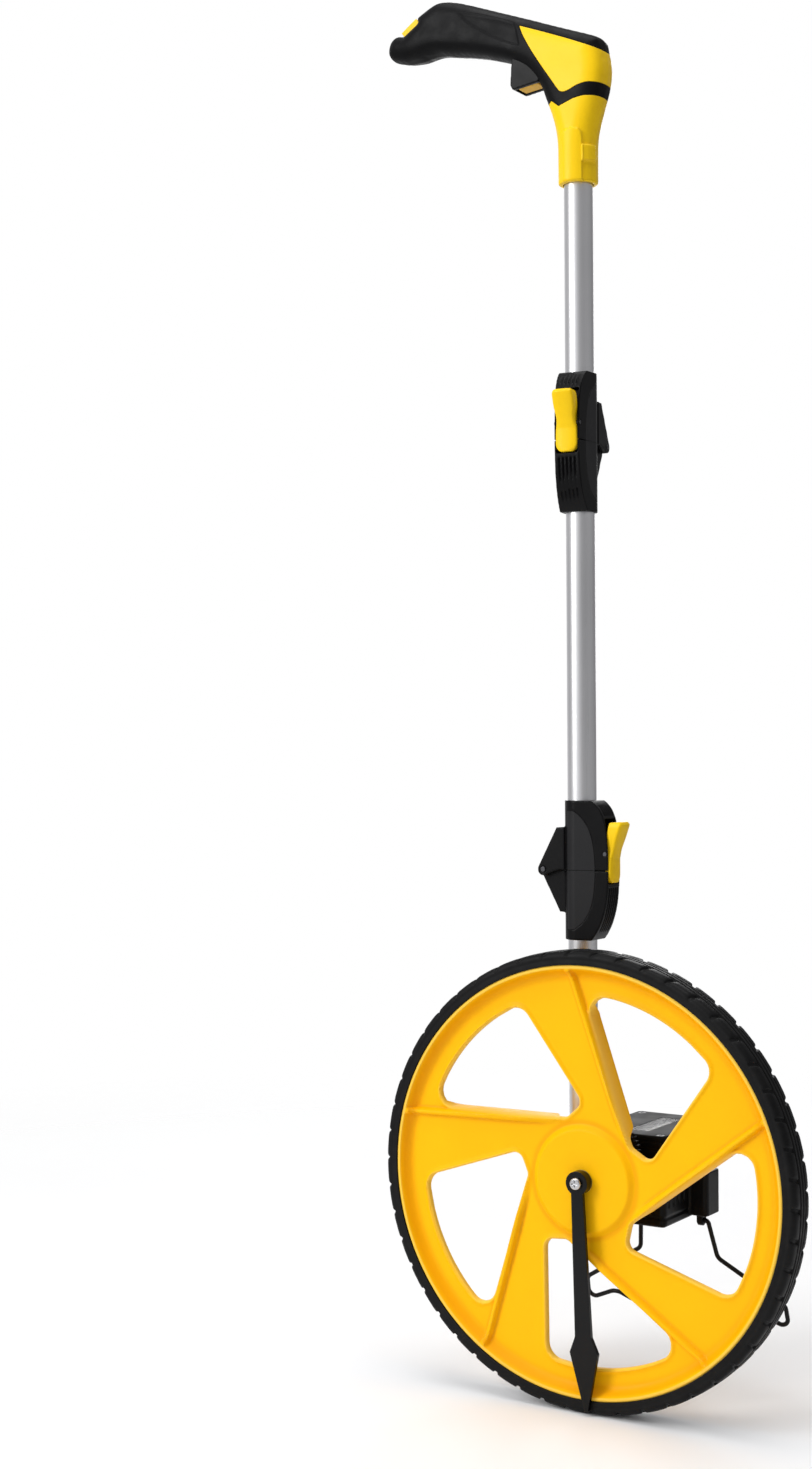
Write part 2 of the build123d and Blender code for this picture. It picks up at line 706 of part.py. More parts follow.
def handle_screws():
    screws = []
    for x, z, seat in HANDLE_SCREWS:
        head = rod_y(2.8, seat, seat + 2, x, z)
        head -= block((x - 1.9, x + 1.9), (seat + 1.1, seat + 3), (z - 0.4, z + 0.4))
        head -= block((x - 0.4, x + 0.4), (seat + 1.1, seat + 3), (z - 1.9, z + 1.9))
        screws.append(head + rod_y(1.4, -8.8, seat + 0.1, x, z))
    return group(screws)


# Trigger: a guard under the grip holds a paddle that tips up about a pin.
GUARD = [(-48.7, 968), (-50.4, 941.5), (-48.5, 938), (-27, 940.6), (-23.5, 947), (-26, 958)]
TRIGGER_PIN = (-31.0, 949.5)


def trigger_room():
    """Space the trigger needs inside the grip and the guard."""
    return side_prism([(-47.8, 930), (-47.8, 961), (-38, 961), (-27, 956), (-27, 930)], -6.6, 6.6)


def trigger_guard(whole):
    shape = side_prism(GUARD, -10.5, 10.5)
    rails = [e for e in shape.edges() if abs(e.center().Y) > 10.4]
    shape = chamfer(rails, 1.5)
    shape = shape - whole - trigger_room()
    return shape


def trigger():
    outline = [(-45.6, 938.6), (-30, 940.4), (-28.3, 944), (-28.3, 952.5), (-33, 954), (-46.6, 946)]
    paddle = side_prism(outline, -6.2, 6.2)
    rails = [e for e in paddle.edges() if abs(e.center().Y) > 6.1]
    paddle = chamfer(rails, 0.8)
    paddle -= block((-35, -27), (-2.2, 2.2), (946, 956))
    return paddle - rod_y(1.25 + RUN, -10, 10, *TRIGGER_PIN)


def trigger_pin():
    return rod_y(1.25, -6.6, 6.6, *TRIGGER_PIN)


def trigger_spring():
    coils = []
    for turn in range(3):
        middle = -1.2 + turn * 1.2
        coil = rod_y(2.2, middle - 0.4, middle + 0.4, *TRIGGER_PIN)
        coils.append(coil - rod_y(1.25, -5, 5, *TRIGGER_PIN))
    return group(coils)


def save_handle():
    front, rear, black = handle_pieces()
    whole = handle_block() + sleeve()
    pieces = {
        "handle_front_half": front, "handle_rear_half": rear, "grip_overmould": black,
        "trigger_guard": trigger_guard(whole), "trigger": trigger(),
        "trigger_pin": trigger_pin(), "trigger_spring": trigger_spring(),
        "grip_end_inlay": end_inlay(), "handle_screws": handle_screws(),
    }
    for name, shape in pieces.items():
        save(name, Pos(TUBE_X, TUBE_Y, 0) * shape)


# ---- build --------------------------------------------------------------------------
wheel_pieces()
save("tyre", tyre())
save("hub_bushes", hub_bushes())
save("hub_gear", hub_gear())
save("axle", axle())
save("axle_circlip", axle_circlip())
save("axle_nut", axle_nut())
save("pointer", pointer())
save("pointer_screw", pointer_screw())
save("counter_housing", counter_housing())
save("counter_cover", counter_cover())
save("counter_window", counter_window())
save("cover_screws", cover_screws())
save("counter_pinion", counter_pinion())
for place in range(DRUMS):
    save(f"digit_drum_{place + 1}", digit_drum(place))
save("drum_shaft", drum_shaft())
save("transfer_shaft", transfer_shaft())
save("transfer_pinions", transfer_pinions())
save("reset_button", reset_button())
save("kickstand", kickstand())
save("lower_tube", tube(124, LOWER_JOINT_Z - TUBE_STOP))
save("middle_tube", tube(LOWER_JOINT_Z + TUBE_STOP, UPPER_JOINT_Z - TUBE_STOP))
screw_hole = Pos(TUBE_X, TUBE_Y, 0) * rod_y(1.5, 0, 20, 0, HANDLE_SCREWS[2][1])
save("upper_tube", tube(UPPER_JOINT_Z + TUBE_STOP, 937) - screw_hole)
save_joint("lower", LOWER_JOINT_Z, 0)
save_joint("upper", UPPER_JOINT_Z, UPPER_JOINT_TURN)
save_handle()
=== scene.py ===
import json
from math import cos, sin, pi, radians, atan2, hypot, tan, acos

import bmesh
import bpy
import numpy as np
from mathutils import Matrix, Vector


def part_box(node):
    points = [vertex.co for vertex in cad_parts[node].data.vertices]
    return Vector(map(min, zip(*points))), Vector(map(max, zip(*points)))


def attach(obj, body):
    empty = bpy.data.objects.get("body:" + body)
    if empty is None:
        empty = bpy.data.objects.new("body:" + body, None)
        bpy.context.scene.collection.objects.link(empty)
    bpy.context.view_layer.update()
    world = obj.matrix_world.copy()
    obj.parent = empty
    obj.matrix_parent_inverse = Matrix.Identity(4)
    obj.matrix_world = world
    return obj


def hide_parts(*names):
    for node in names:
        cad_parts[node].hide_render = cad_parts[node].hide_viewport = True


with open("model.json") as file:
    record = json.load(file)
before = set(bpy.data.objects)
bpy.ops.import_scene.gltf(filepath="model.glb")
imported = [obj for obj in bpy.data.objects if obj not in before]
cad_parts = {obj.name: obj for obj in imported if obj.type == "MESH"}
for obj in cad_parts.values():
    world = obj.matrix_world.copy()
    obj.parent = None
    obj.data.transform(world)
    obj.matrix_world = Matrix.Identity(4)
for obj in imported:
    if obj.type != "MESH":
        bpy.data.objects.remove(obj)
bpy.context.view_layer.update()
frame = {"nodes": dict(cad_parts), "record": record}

MM = 0.001
NODES = frame["nodes"]


def middle(node):
    low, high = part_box(node)
    return (low + high) / 2


# ---- camera, floor and light --------------------------------------------------------
CAMERA_AT = (0.6888, -1.2931, 0.4681)
CAMERA_YAW = radians(32.885)
CAMERA_ROLL = radians(-0.343)
CAMERA_LENS = 51.65
SENSOR_WIDTH = 36
# The studio's walls are lined up with the photo's view, by CAMERA_YAW rounded to three
# places. They stay where they are when the object is seen from elsewhere.
BACK_WALL = (-0.543, 0.84, 0)
RIGHT_WALL = (0.84, 0.543, 0)
WALL_TONES = [(0, 0.62), (0.10, 0.72), (0.25, 0.95), (0.5, 0.95), (0.75, 0.7), (0.9, 0.6), (1, 0.9)]
SIDE_TONES = [(0, 0.6), (0.12, 1.0), (0.22, 1.35), (0.36, 1.0), (0.5, 0.7), (0.7, 0.6), (1, 0.45)]
CEILING_TONE = (0.5, 0.5, 0.51, 1)
CEILING_FROM, CEILING_FULL = 0.45, 0.9    # heights of a unit direction where it fades in
STUDIO_STRENGTH = 0.78
FLOOR_SIZE = 14


def add_camera():
    data = bpy.data.cameras.new("camera")
    data.lens = CAMERA_LENS
    data.sensor_width = SENSOR_WIDTH
    data.clip_start = 0.01
    camera = bpy.data.objects.new("camera", data)
    turn = Matrix.Rotation(CAMERA_YAW, 4, "Z") @ Matrix.Rotation(pi / 2, 4, "X")
    turn = turn @ Matrix.Rotation(CAMERA_ROLL, 4, "Z")
    camera.matrix_world = Matrix.Translation(CAMERA_AT) @ turn
    bpy.context.scene.collection.objects.link(camera)
    bpy.context.scene.camera = camera


def area_light(name, at, aim, size, power):
    data = bpy.data.lights.new(name, "AREA")
    data.shape = "RECTANGLE"
    data.size, data.size_y = size
    data.energy = power
    light = bpy.data.objects.new(name, data)
    light.location = at
    aim_line = Vector(aim) - Vector(at)
    light.rotation_euler = aim_line.to_track_quat("-Z", "Y").to_euler()
    bpy.context.scene.collection.objects.link(light)


def wire(tree, source, node, index):
    tree.links.new(source, node.inputs[index])


def fill_ramp(node, stops):
    ramp = node.color_ramp
    while len(ramp.elements) < len(stops):
        ramp.elements.new(0.5)
    for element, (place, tone) in zip(ramp.elements, stops):
        element.position = place
        element.color = (tone, tone, tone * 1.01, 1)


def vector_maths(tree, operation, source, value=None):
    node = tree.nodes.new("ShaderNodeVectorMath")
    node.operation = operation
    wire(tree, source, node, 0)
    if value:
        node.inputs[1].default_value = value
    return node


def tones_along(tree, level, direction, stops):
    """Grey that follows how far a level direction agrees with another one."""
    facing = vector_maths(tree, "DOT_PRODUCT", level, direction)
    share = tree.nodes.new("ShaderNodeMapRange")
    wire(tree, facing.outputs["Value"], share, 0)
    share.inputs[1].default_value = -1
    tones = tree.nodes.new("ShaderNodeValToRGB")
    wire(tree, share.outputs[0], tones, 0)
    fill_ramp(tones, stops)
    return tones.outputs[0]


def studio_world():
    """Camera rays see a white backdrop; all other rays see a studio with darker walls."""
    world = bpy.data.worlds.new("studio")
    world.use_nodes = True
    tree = world.node_tree
    output = tree.nodes["World Output"]
    lit = tree.nodes["Background"]
    backdrop = tree.nodes.new("ShaderNodeBackground")
    backdrop.inputs["Color"].default_value = (1, 1, 1, 1)
    backdrop.inputs["Strength"].default_value = 1.0
    direction = tree.nodes.new("ShaderNodeTexCoord").outputs["Generated"]
    flattened = vector_maths(tree, "MULTIPLY", direction, (1, 1, 0))
    level = vector_maths(tree, "NORMALIZE", flattened.outputs[0]).outputs[0]
    walls = tones_along(tree, level, BACK_WALL, WALL_TONES)
    sides = tones_along(tree, level, RIGHT_WALL, SIDE_TONES)
    both = vector_maths(tree, "MULTIPLY", walls)
    wire(tree, sides, both, 1)
    height = tree.nodes.new("ShaderNodeSeparateXYZ")
    wire(tree, direction, height, 0)
    ceiling = tree.nodes.new("ShaderNodeMapRange")
    ceiling.inputs[1].default_value = CEILING_FROM
    ceiling.inputs[2].default_value = CEILING_FULL
    wire(tree, height.outputs["Z"], ceiling, 0)
    blend = tree.nodes.new("ShaderNodeMix")
    blend.data_type = "RGBA"
    wire(tree, ceiling.outputs[0], blend, 0)
    wire(tree, both.outputs[0], blend, 6)
    blend.inputs[7].default_value = CEILING_TONE
    wire(tree, blend.outputs[2], lit, 0)
    lit.inputs["Strength"].default_value = STUDIO_STRENGTH
    paths = tree.nodes.new("ShaderNodeLightPath")
    choose = tree.nodes.new("ShaderNodeMixShader")
    wire(tree, paths.outputs["Is Camera Ray"], choose, 0)
    wire(tree, lit.outputs[0], choose, 1)
    wire(tree, backdrop.outputs[0], choose, 2)
    wire(tree, choose.outputs[0], output, 0)
    bpy.context.scene.world = world


def add_studio():
    heart = (0, 0, 0.5)
    area_light("key", (-1.3, -2.0, 1.5), heart, (0.9, 2.0), 40)
    area_light("top", (0.1, -0.3, 2.7), (0, 0.1, 0), (1.8, 1.8), 30)
    area_light("back", (-0.9, 2.1, 1.3), heart, (1.0, 1.6), 16)
    studio_world()
    bpy.context.scene.view_settings.view_transform = "Standard"


def add_floor():
    bpy.ops.mesh.primitive_grid_add(x_subdivisions=2, y_subdivisions=2, size=FLOOR_SIZE)
    floor = bpy.context.object
    floor.name = "floor"
    floor.data.materials.append(plain_paper())


# ---- materials ----------------------------------------------------------------------
class Graph:
    """Short hand for building a material's node tree."""

    def __init__(self, name):
        self.material = bpy.data.materials.new(name)
        self.material.use_nodes = True
        self.tree = self.material.node_tree
        self.shader = self.tree.nodes["Principled BSDF"]

    def add(self, kind, values=None, **settings):
        node = self.tree.nodes.new("ShaderNode" + kind)
        for key, value in settings.items():
            setattr(node, key, value)
        for key, value in (values or {}).items():
            node.inputs[key].default_value = value
        return node

    def link(self, source, target):
        self.tree.links.new(source, target)

    def set(self, **values):
        for key, value in values.items():
            self.shader.inputs[key.replace("_", " ")].default_value = value

    def place(self, stretch=None):
        coords = self.add("TexCoord").outputs["Object"]
        if stretch is None:
            return coords
        mapping = self.add("Mapping", {"Scale": stretch})
        self.link(coords, mapping.inputs["Vector"])
        return mapping.outputs["Vector"]

    def noise(self, scale, detail=4.0, rough=0.55, stretch=None):
        node = self.add("TexNoise", {"Scale": scale, "Detail": detail, "Roughness": rough})
        self.link(self.place(stretch), node.inputs["Vector"])
        return node.outputs["Fac"]

    def spread(self, source, low, high, start=0.3, end=0.7):
        node = self.add("MapRange", {1: start, 2: end, 3: low, 4: high})
        self.link(source, node.inputs[0])
        return node.outputs[0]

    def mix(self, fac, a, b):
        """Colour blend; a and b are colours or sockets, fac a number or a socket."""
        node = self.add("Mix", data_type="RGBA")
        for index, value in ((0, fac), (6, a), (7, b)):
            if isinstance(value, bpy.types.NodeSocket):
                self.link(value, node.inputs[index])
            elif index == 0:
                node.inputs[0].default_value = value
            else:
                node.inputs[index].default_value = (*value[:3], 1)
        return node.outputs[2]

    def edge_mask(self, radius):
        """1 close to a sharp edge, 0 on open faces."""
        rounded = self.add("Bevel", {"Radius": radius}, samples=4)
        flat = self.add("NewGeometry").outputs["Normal"]
        dot = self.add("VectorMath", operation="DOT_PRODUCT")
        self.link(rounded.outputs[0], dot.inputs[0])
        self.link(flat, dot.inputs[1])
        return self.spread(dot.outputs["Value"], 1.0, 0.0, 0.80, 0.995)

    def normal(self, bumps, bevel=0.0):
        """Chain of bumps, each (height socket, strength, distance), over rounded edges."""
        last = None
        if bevel:
            last = self.add("Bevel", {"Radius": bevel}, samples=6).outputs[0]
        for height, strength, distance in bumps:
            node = self.add("Bump", {"Strength": strength, "Distance": distance})
            self.link(height, node.inputs["Height"])
            if last is not None:
                self.link(last, node.inputs["Normal"])
            last = node.outputs[0]
        self.link(last, self.shader.inputs["Normal"])


def shade(colour, factor):
    return tuple(c * factor for c in colour[:3])


def moulded(name, colour, rough=0.35, grain=0.15, bevel=0.0006, rubbed_and_highlight_amount=0.12, specular=0.5,
            rubbed_and_highlight_tone=None, painted_concave_shade=None):
    """Moulded plastic: flow mottling, spark-eroded grain, softened edges paled by rubbing and by a painted
    highlight.

    The deeper colour for concave corners is painted shade, laid where the mesh marks them; crest marks get
    the pale edge tone as a painted highlight."""
    g = Graph(name)
    cloud = g.spread(g.noise(14, 5), 0.0, 1.0)
    speck = g.spread(g.noise(420, 3), 0.0, 1.0, 0.35, 0.65)
    tone = g.mix(cloud, shade(colour, 0.95), shade(colour, 1.03))
    tone = g.mix(g.spread(speck, 0.0, 0.06, 0, 1), tone, shade(colour, 0.7))
    # Painted shade where the mesh marks concave corners, and a painted highlight where it marks crests.
    if painted_concave_shade:
        sunk = g.add("Attribute", attribute_name="painted_concave_shade").outputs["Fac"]
        crest = g.add("Attribute", attribute_name="crest").outputs["Fac"]
        tone = g.mix(g.spread(sunk, 0.0, 0.6, 0, 1), tone, painted_concave_shade)
        tone = g.mix(g.spread(crest, 0.0, 0.5, 0, 1), tone, rubbed_and_highlight_tone)
    pale = rubbed_and_highlight_tone or tuple(min(1.0, c * 1.25 + 0.02) for c in colour[:3])
    edge = g.edge_mask(max(bevel, 0.0003) * 1.6)
    # Paler rubbed edges; where the amount is high, as on the wheel, the paling is a painted highlight.
    rubbed_and_highlight_edge = g.add("Math", operation="MULTIPLY")
    g.link(edge, rubbed_and_highlight_edge.inputs[0])
    g.link(g.spread(g.noise(90, 6), 0.0, rubbed_and_highlight_amount, 0.4, 0.7), rubbed_and_highlight_edge.inputs[1])
    tone = g.mix(rubbed_and_highlight_edge.outputs[0], tone, pale)
    g.link(tone, g.shader.inputs["Base Color"])
    gloss = g.spread(g.noise(55, 6), rough - 0.05, rough + 0.07)
    g.link(gloss, g.shader.inputs["Roughness"])
    g.shader.inputs["IOR"].default_value = 1.5
    g.shader.inputs["Specular IOR Level"].default_value = specular
    fine = g.noise(1500, 2)
    broad = g.noise(70, 3)
    g.normal([(broad, 0.05, 0.0004), (fine, grain, 0.00006)], bevel)
    return g.material


def rubber(name, colour, rough=0.62, grain=0.35, dust=0.10, grain_scale=900, specular=0.25):
    """Rubber: matt, pebbled, with a little grey bloom in its low spots."""
    g = Graph(name)
    cloud = g.spread(g.noise(22, 6), 0.0, 1.0)
    tone = g.mix(cloud, shade(colour, 0.8), shade(colour, 1.25))
    bloom = g.spread(g.noise(130, 8, 0.7), 0.0, dust, 0.45, 0.75)
    tone = g.mix(bloom, tone, (0.06, 0.059, 0.057))
    g.link(tone, g.shader.inputs["Base Color"])
    g.link(g.spread(g.noise(80, 5), rough - 0.09, rough + 0.1), g.shader.inputs["Roughness"])
    g.shader.inputs["Specular IOR Level"].default_value = specular
    pebble = g.add("TexVoronoi", {"Scale": grain_scale}, feature="SMOOTH_F1")
    g.link(g.place(), pebble.inputs["Vector"])
    g.normal([(g.noise(60, 4), 0.08, 0.0005), (pebble.outputs["Distance"], grain, 0.00012)], 0.0005)
    return g.material


def metal(name, colour, rough, stretch, streak=0.12, bevel=0.0003, scuff=0.05, lines=2400):
    """Metal with drawing or turning lines that run along the direction of low stretch."""
    g = Graph(name)
    drawn = g.noise(lines, 3, 0.6, stretch)
    broad = g.noise(9, 4)
    tone = g.mix(g.spread(broad, 0.0, 1.0), shade(colour, 0.92), shade(colour, 1.04))
    tone = g.mix(g.spread(drawn, 0.0, 0.22), tone, shade(colour, 0.72))
    marks = g.spread(g.noise(160, 9, 0.75), 0.0, 1.0, 0.62, 0.8)
    tone = g.mix(g.spread(marks, 0.0, scuff, 0, 1), tone, shade(colour, 0.5))
    g.link(tone, g.shader.inputs["Base Color"])
    g.set(Metallic=1.0)
    g.link(g.spread(drawn, rough - 0.05, rough + 0.08), g.shader.inputs["Roughness"])
    g.normal([(drawn, streak, 0.00004)], bevel)
    return g.material


def clear_plastic(name):
    g = Graph(name)
    g.set(Alpha=0.4)
    tone = g.mix(g.spread(g.noise(60, 5), 0.0, 1.0), (0.07, 0.072, 0.072), (0.10, 0.102, 0.102))
    g.link(tone, g.shader.inputs["Base Color"])
    g.shader.inputs["Specular IOR Level"].default_value = 0.15
    g.shader.inputs["IOR"].default_value = 1.49
    g.link(g.spread(g.noise(150, 7, 0.7), 0.25, 0.4, 0.45, 0.8), g.shader.inputs["Roughness"])
    g.normal([(g.noise(240, 5), 0.05, 0.00005)], 0.0004)
    return g.material


def plain_paper():
    """Pale floor that fades into the white backdrop away from the object."""
    g = Graph("floor_paper")
    tone = g.mix(g.spread(g.noise(3, 4), 0.0, 1.0), (0.92, 0.922, 0.925), (0.95, 0.95, 0.95))
    g.link(tone, g.shader.inputs["Base Color"])
    g.set(Roughness=0.8)
    g.shader.inputs["Specular IOR Level"].default_value = 0.1
    reach = g.add("VectorMath", operation="LENGTH")
    g.link(g.place(), reach.inputs[0])
    g.link(g.spread(reach.outputs["Value"], 1.0, 0.0, 0.35, 1.5), g.shader.inputs["Alpha"])
    g.normal([(g.noise(400, 3), 0.04, 0.0002)])
    return g.material


WHEEL_YELLOW = (1.0, 0.525, 0.001)
HANDLE_YELLOW = (1.0, 0.64, 0.006)
BLACK = (0.0042, 0.0042, 0.0045)
DEEP_BLACK = (0.003, 0.003, 0.0033)

LOOKS = {
    # Wheel: its pale edge tone, laid strongly on edges and crest marks, is a painted highlight; its deeper
    # orange in concave marks is painted shade.
    "wheel": moulded("wheel_yellow", WHEEL_YELLOW, rough=0.42, grain=0.08, rubbed_and_highlight_amount=0.8,
                     specular=0.1, rubbed_and_highlight_tone=(1.0, 0.70, 0.14), painted_concave_shade=(0.88, 0.34, 0.0)),
    "yellow": moulded("handle_yellow", HANDLE_YELLOW, rough=0.34, grain=0.06, bevel=0.0007,
                      rubbed_and_highlight_amount=0.25, specular=0.16, rubbed_and_highlight_tone=(1.0, 0.8, 0.2)),
    # The trigger is the handle's yellow plastic made darker: painted shade for its place under the guard.
    "painted_shade_yellow": moulded("trigger_painted_shade_yellow", (0.78, 0.45, 0.05), rough=0.42, grain=0.1, specular=0.2),
    "black": moulded("black_nylon", BLACK, rough=0.34, grain=0.2, specular=0.11),
    "cover": moulded("cover_black", BLACK, rough=0.55, grain=0.25, specular=0.08),
    "gloss": moulded("pointer_black", DEEP_BLACK, rough=0.2, grain=0.04, bevel=0.0007, specular=0.2),
    "panel": moulded("grey_panel", (0.011, 0.011, 0.012), rough=0.42, grain=0.25, bevel=0.0004,
                     specular=0.22),
    "tyre": rubber("tyre_rubber", (0.0042, 0.0042, 0.0044), rough=0.5, specular=0.14, dust=0.06),
    "grip": rubber("grip_rubber", (0.0042, 0.0042, 0.0046), rough=0.44, grain=0.16, dust=0.03,
                   grain_scale=1500, specular=0.09),
    "tube": metal("drawn_aluminium", (0.80, 0.80, 0.81), 0.32, (1, 1, 0.002), streak=0.03,
                  scuff=0.03),
    "steel": metal("plated_steel", (0.60, 0.60, 0.61), 0.26, (1, 0.05, 1), lines=1800),
    "pin": metal("black_pin", (0.08, 0.08, 0.085), 0.4, (1, 0.05, 1), lines=1800),
    "wire": moulded("stand_coating", DEEP_BLACK, rough=0.34, grain=0.3, bevel=0.0002,
                    specular=0.2),
    "bronze": metal("sintered_bronze", (0.48, 0.31, 0.12), 0.42, (1, 1, 1), lines=900),
    "nylon": moulded("white_nylon", (0.72, 0.71, 0.67), rough=0.42, grain=0.12, bevel=0.0003),
    "window": clear_plastic("counter_lens"),
    "ink": moulded("digit_ink", (0.01, 0.01, 0.01), rough=0.5, grain=0.1, bevel=0.0002),
}

LOOK_OF_SLOT = {
    "yellow_plastic": "yellow", "black_plastic": "black", "grey_panel": "panel",
    "tyre_rubber": "tyre", "grip_rubber": "grip", "tube_aluminium": "tube",
    "plated_steel": "steel", "black_wire": "wire", "bush_bronze": "bronze",
    "white_nylon": "nylon", "clear_window": "window",
}
LOOK_OF_NODE = {
    "rim": "wheel", "wheel_hub": "wheel", "wheel_spokes": "wheel", "pointer": "gloss",
    "lower_joint_pin": "pin", "upper_joint_pin": "pin", "lower_latch_pin": "pin",
    "upper_latch_pin": "pin", "counter_cover": "cover", "trigger": "painted_shade_yellow",
    "cover_screws": "pin", "counter_pinion": "black", "hub_gear": "black",
}


def dress_cad_nodes():
    slot_of = {s["node"]: s["material_slot"] for s in frame["record"]["subparts"]}
    for name, node in NODES.items():
        look = LOOK_OF_NODE.get(name) or LOOK_OF_SLOT[slot_of[name]]
        node.data.materials.clear()
        node.data.materials.append(LOOKS[look])


# ---- mesh helpers -------------------------------------------------------------------
def bare_piece(name, points, faces):
    mesh = bpy.data.meshes.new(name)
    mesh.from_pydata(points, [], faces)
    piece = bpy.data.objects.new(name, mesh)
    bpy.context.scene.collection.objects.link(piece)
    return piece


def new_piece(name, points, faces, look, body, replaced=(), smooth=True):
    piece = bare_piece(name, [tuple(p) for p in points], faces)
    piece.data.validate()
    return finish_piece(piece, look, body, replaced, smooth)


def finish_piece(piece, look, body, replaced=(), smooth=True):
    piece.data.materials.clear()
    piece.data.materials.append(LOOKS[look])
    if smooth:
        for polygon in piece.data.polygons:
            polygon.use_smooth = True
    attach(piece, body)
    if replaced:
        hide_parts(*replaced)
    return piece


def ring_faces(rings, around_count, closed_ends=True, wrap=False):
    """Quads between successive closed rings of points."""
    faces = []
    last = rings if wrap else rings - 1
    for r in range(last):
        base, above = r * around_count, (r + 1) % rings * around_count
        for k in range(around_count):
            n = (k + 1) % around_count
            faces.append((base + k, base + n, above + n, above + k))
    if closed_ends and not wrap:
        faces.append(tuple(reversed(range(around_count))))
        faces.append(tuple(range((rings - 1) * around_count, rings * around_count)))
    return faces


def apply_modifiers(piece):
    bpy.context.view_layer.update()
    graph = bpy.context.evaluated_depsgraph_get()
    mesh = bpy.data.meshes.new_from_object(piece.evaluated_get(graph))
    piece.modifiers.clear()
    piece.data = mesh
    return piece


def sharpen(piece, angle=35):
    """Smooth faces that break only at real edges."""
    for polygon in piece.data.polygons:
        polygon.use_smooth = True
    piece.data.set_sharp_from_angle(angle=radians(angle))
    return piece


def welded(piece, weld=0.00001):
    """Close a mesh whose corners are doubled, and turn all its faces outwards."""
    bm = bmesh.new()
    bm.from_mesh(piece.data)
    bmesh.ops.remove_doubles(bm, verts=bm.verts, dist=weld)
    bmesh.ops.recalc_face_normals(bm, faces=bm.faces)
    bm.to_mesh(piece.data)
    bm.free()
    return piece


def reskinned(piece, voxel, rounds):
    """Even skin of small faces, relaxed so that every edge is rounded off."""
    modifier = piece.modifiers.new("skin", "REMESH")
    modifier.mode = "VOXEL"
    modifier.voxel_size = voxel * MM
    modifier = piece.modifiers.new("relax", "SMOOTH")
    modifier.iterations = rounds
    modifier.factor = 0.5
    return apply_modifiers(piece)


def get_points(piece):
    points = np.empty(len(piece.data.vertices) * 3)
    piece.data.vertices.foreach_get("co", points)
    return points.reshape(-1, 3)


def set_points(piece, points):
    piece.data.vertices.foreach_set("co", points.ravel())
    piece.data.update()


# ---- outlines -----------------------------------------------------------------------
PLATE_WELD = 0.0000005                    # joins a plate's coinciding corners and no others


def closest(outline, px, py):
    """Signed distance to a closed outline, positive inside, and the closest point on it."""
    best = np.full(px.shape, 1e9)
    near_x, near_y = px.copy(), py.copy()
    inside = np.zeros(px.shape, bool)
    for (ax, ay), (bx, by) in zip(outline, outline[1:] + outline[:1]):
        dx, dy = bx - ax, by - ay
        t = np.clip(((px - ax) * dx + (py - ay) * dy) / (dx * dx + dy * dy), 0, 1)
        qx, qy = ax + t * dx, ay + t * dy
        far = np.hypot(px - qx, py - qy)
        near = far < best
        best = np.where(near, far, best)
        near_x = np.where(near, qx, near_x)
        near_y = np.where(near, qy, near_y)
        if ay != by:
            inside ^= ((ay > py) != (by > py)) & (px < ax + dx * (py - ay) / dy)
    return np.where(inside, best, -best), near_x, near_y


def ease(start, end, value):
    """0 at start, 1 at end, smooth between."""
    t = np.clip((value - start) / (end - start), 0, 1)
    return t * t * (3 - 2 * t)


def curve_through(points, sharp=(), steps=5):
    """Closed smooth curve through the points; the numbered ones stay corners."""
    count = len(points)
    curve = []
    for k in range(count):
        p0, p1, p2, p3 = (Vector(points[(k + j) % count]) for j in (-1, 0, 1, 2))
        if k in sharp:
            p0 = 2 * p1 - p2
        if (k + 1) % count in sharp:
            p3 = 2 * p2 - p1
        for step in range(steps):
            t = step / steps
            bend = (p2 - p0) * t + (2 * p0 - 5 * p1 + 4 * p2 - p3) * t ** 2
            bend += (3 * p1 - p0 - 3 * p2 + p3) * t ** 3
            curve.append(tuple(p1 + bend / 2))
    return curve


def fillet_corner(a, b, c, radius, steps=7):
    """Points of a rounded corner at b between a and c."""
    a, b, c = Vector(a), Vector(b), Vector(c)
    u, v = (a - b).normalized(), (c - b).normalized()
    half = acos(max(-1.0, min(1.0, u.dot(v)))) / 2
    start, end = b + u * (radius / tan(half)), b + v * (radius / tan(half))
    centre = b + (u + v).normalized() * (radius / sin(half))
    points = []
    for k in range(steps + 1):
        arm = (start - centre).lerp(end - centre, k / steps).normalized() * radius
        points.append(tuple(centre + arm))
    return points


def with_neighbours(core, wrap):
    """The marked grid points and the eight round each; columns may close into a ring."""
    rows, columns = core.shape
    grown = core.copy()
    for dr in (-1, 0, 1):
        for dc in (-1, 0, 1):
            if wrap:
                moved = np.roll(core, dc, 1)
            else:
                moved = np.zeros_like(core)
                moved[:, max(dc, 0):columns + min(dc, 0)] = core[:, max(-dc, 0):columns - max(dc, 0)]
            shifted = np.zeros_like(core)
            shifted[max(dr, 0):rows + min(dr, 0)] = moved[max(-dr, 0):rows - max(dr, 0)]
            grown |= shifted
    return grown


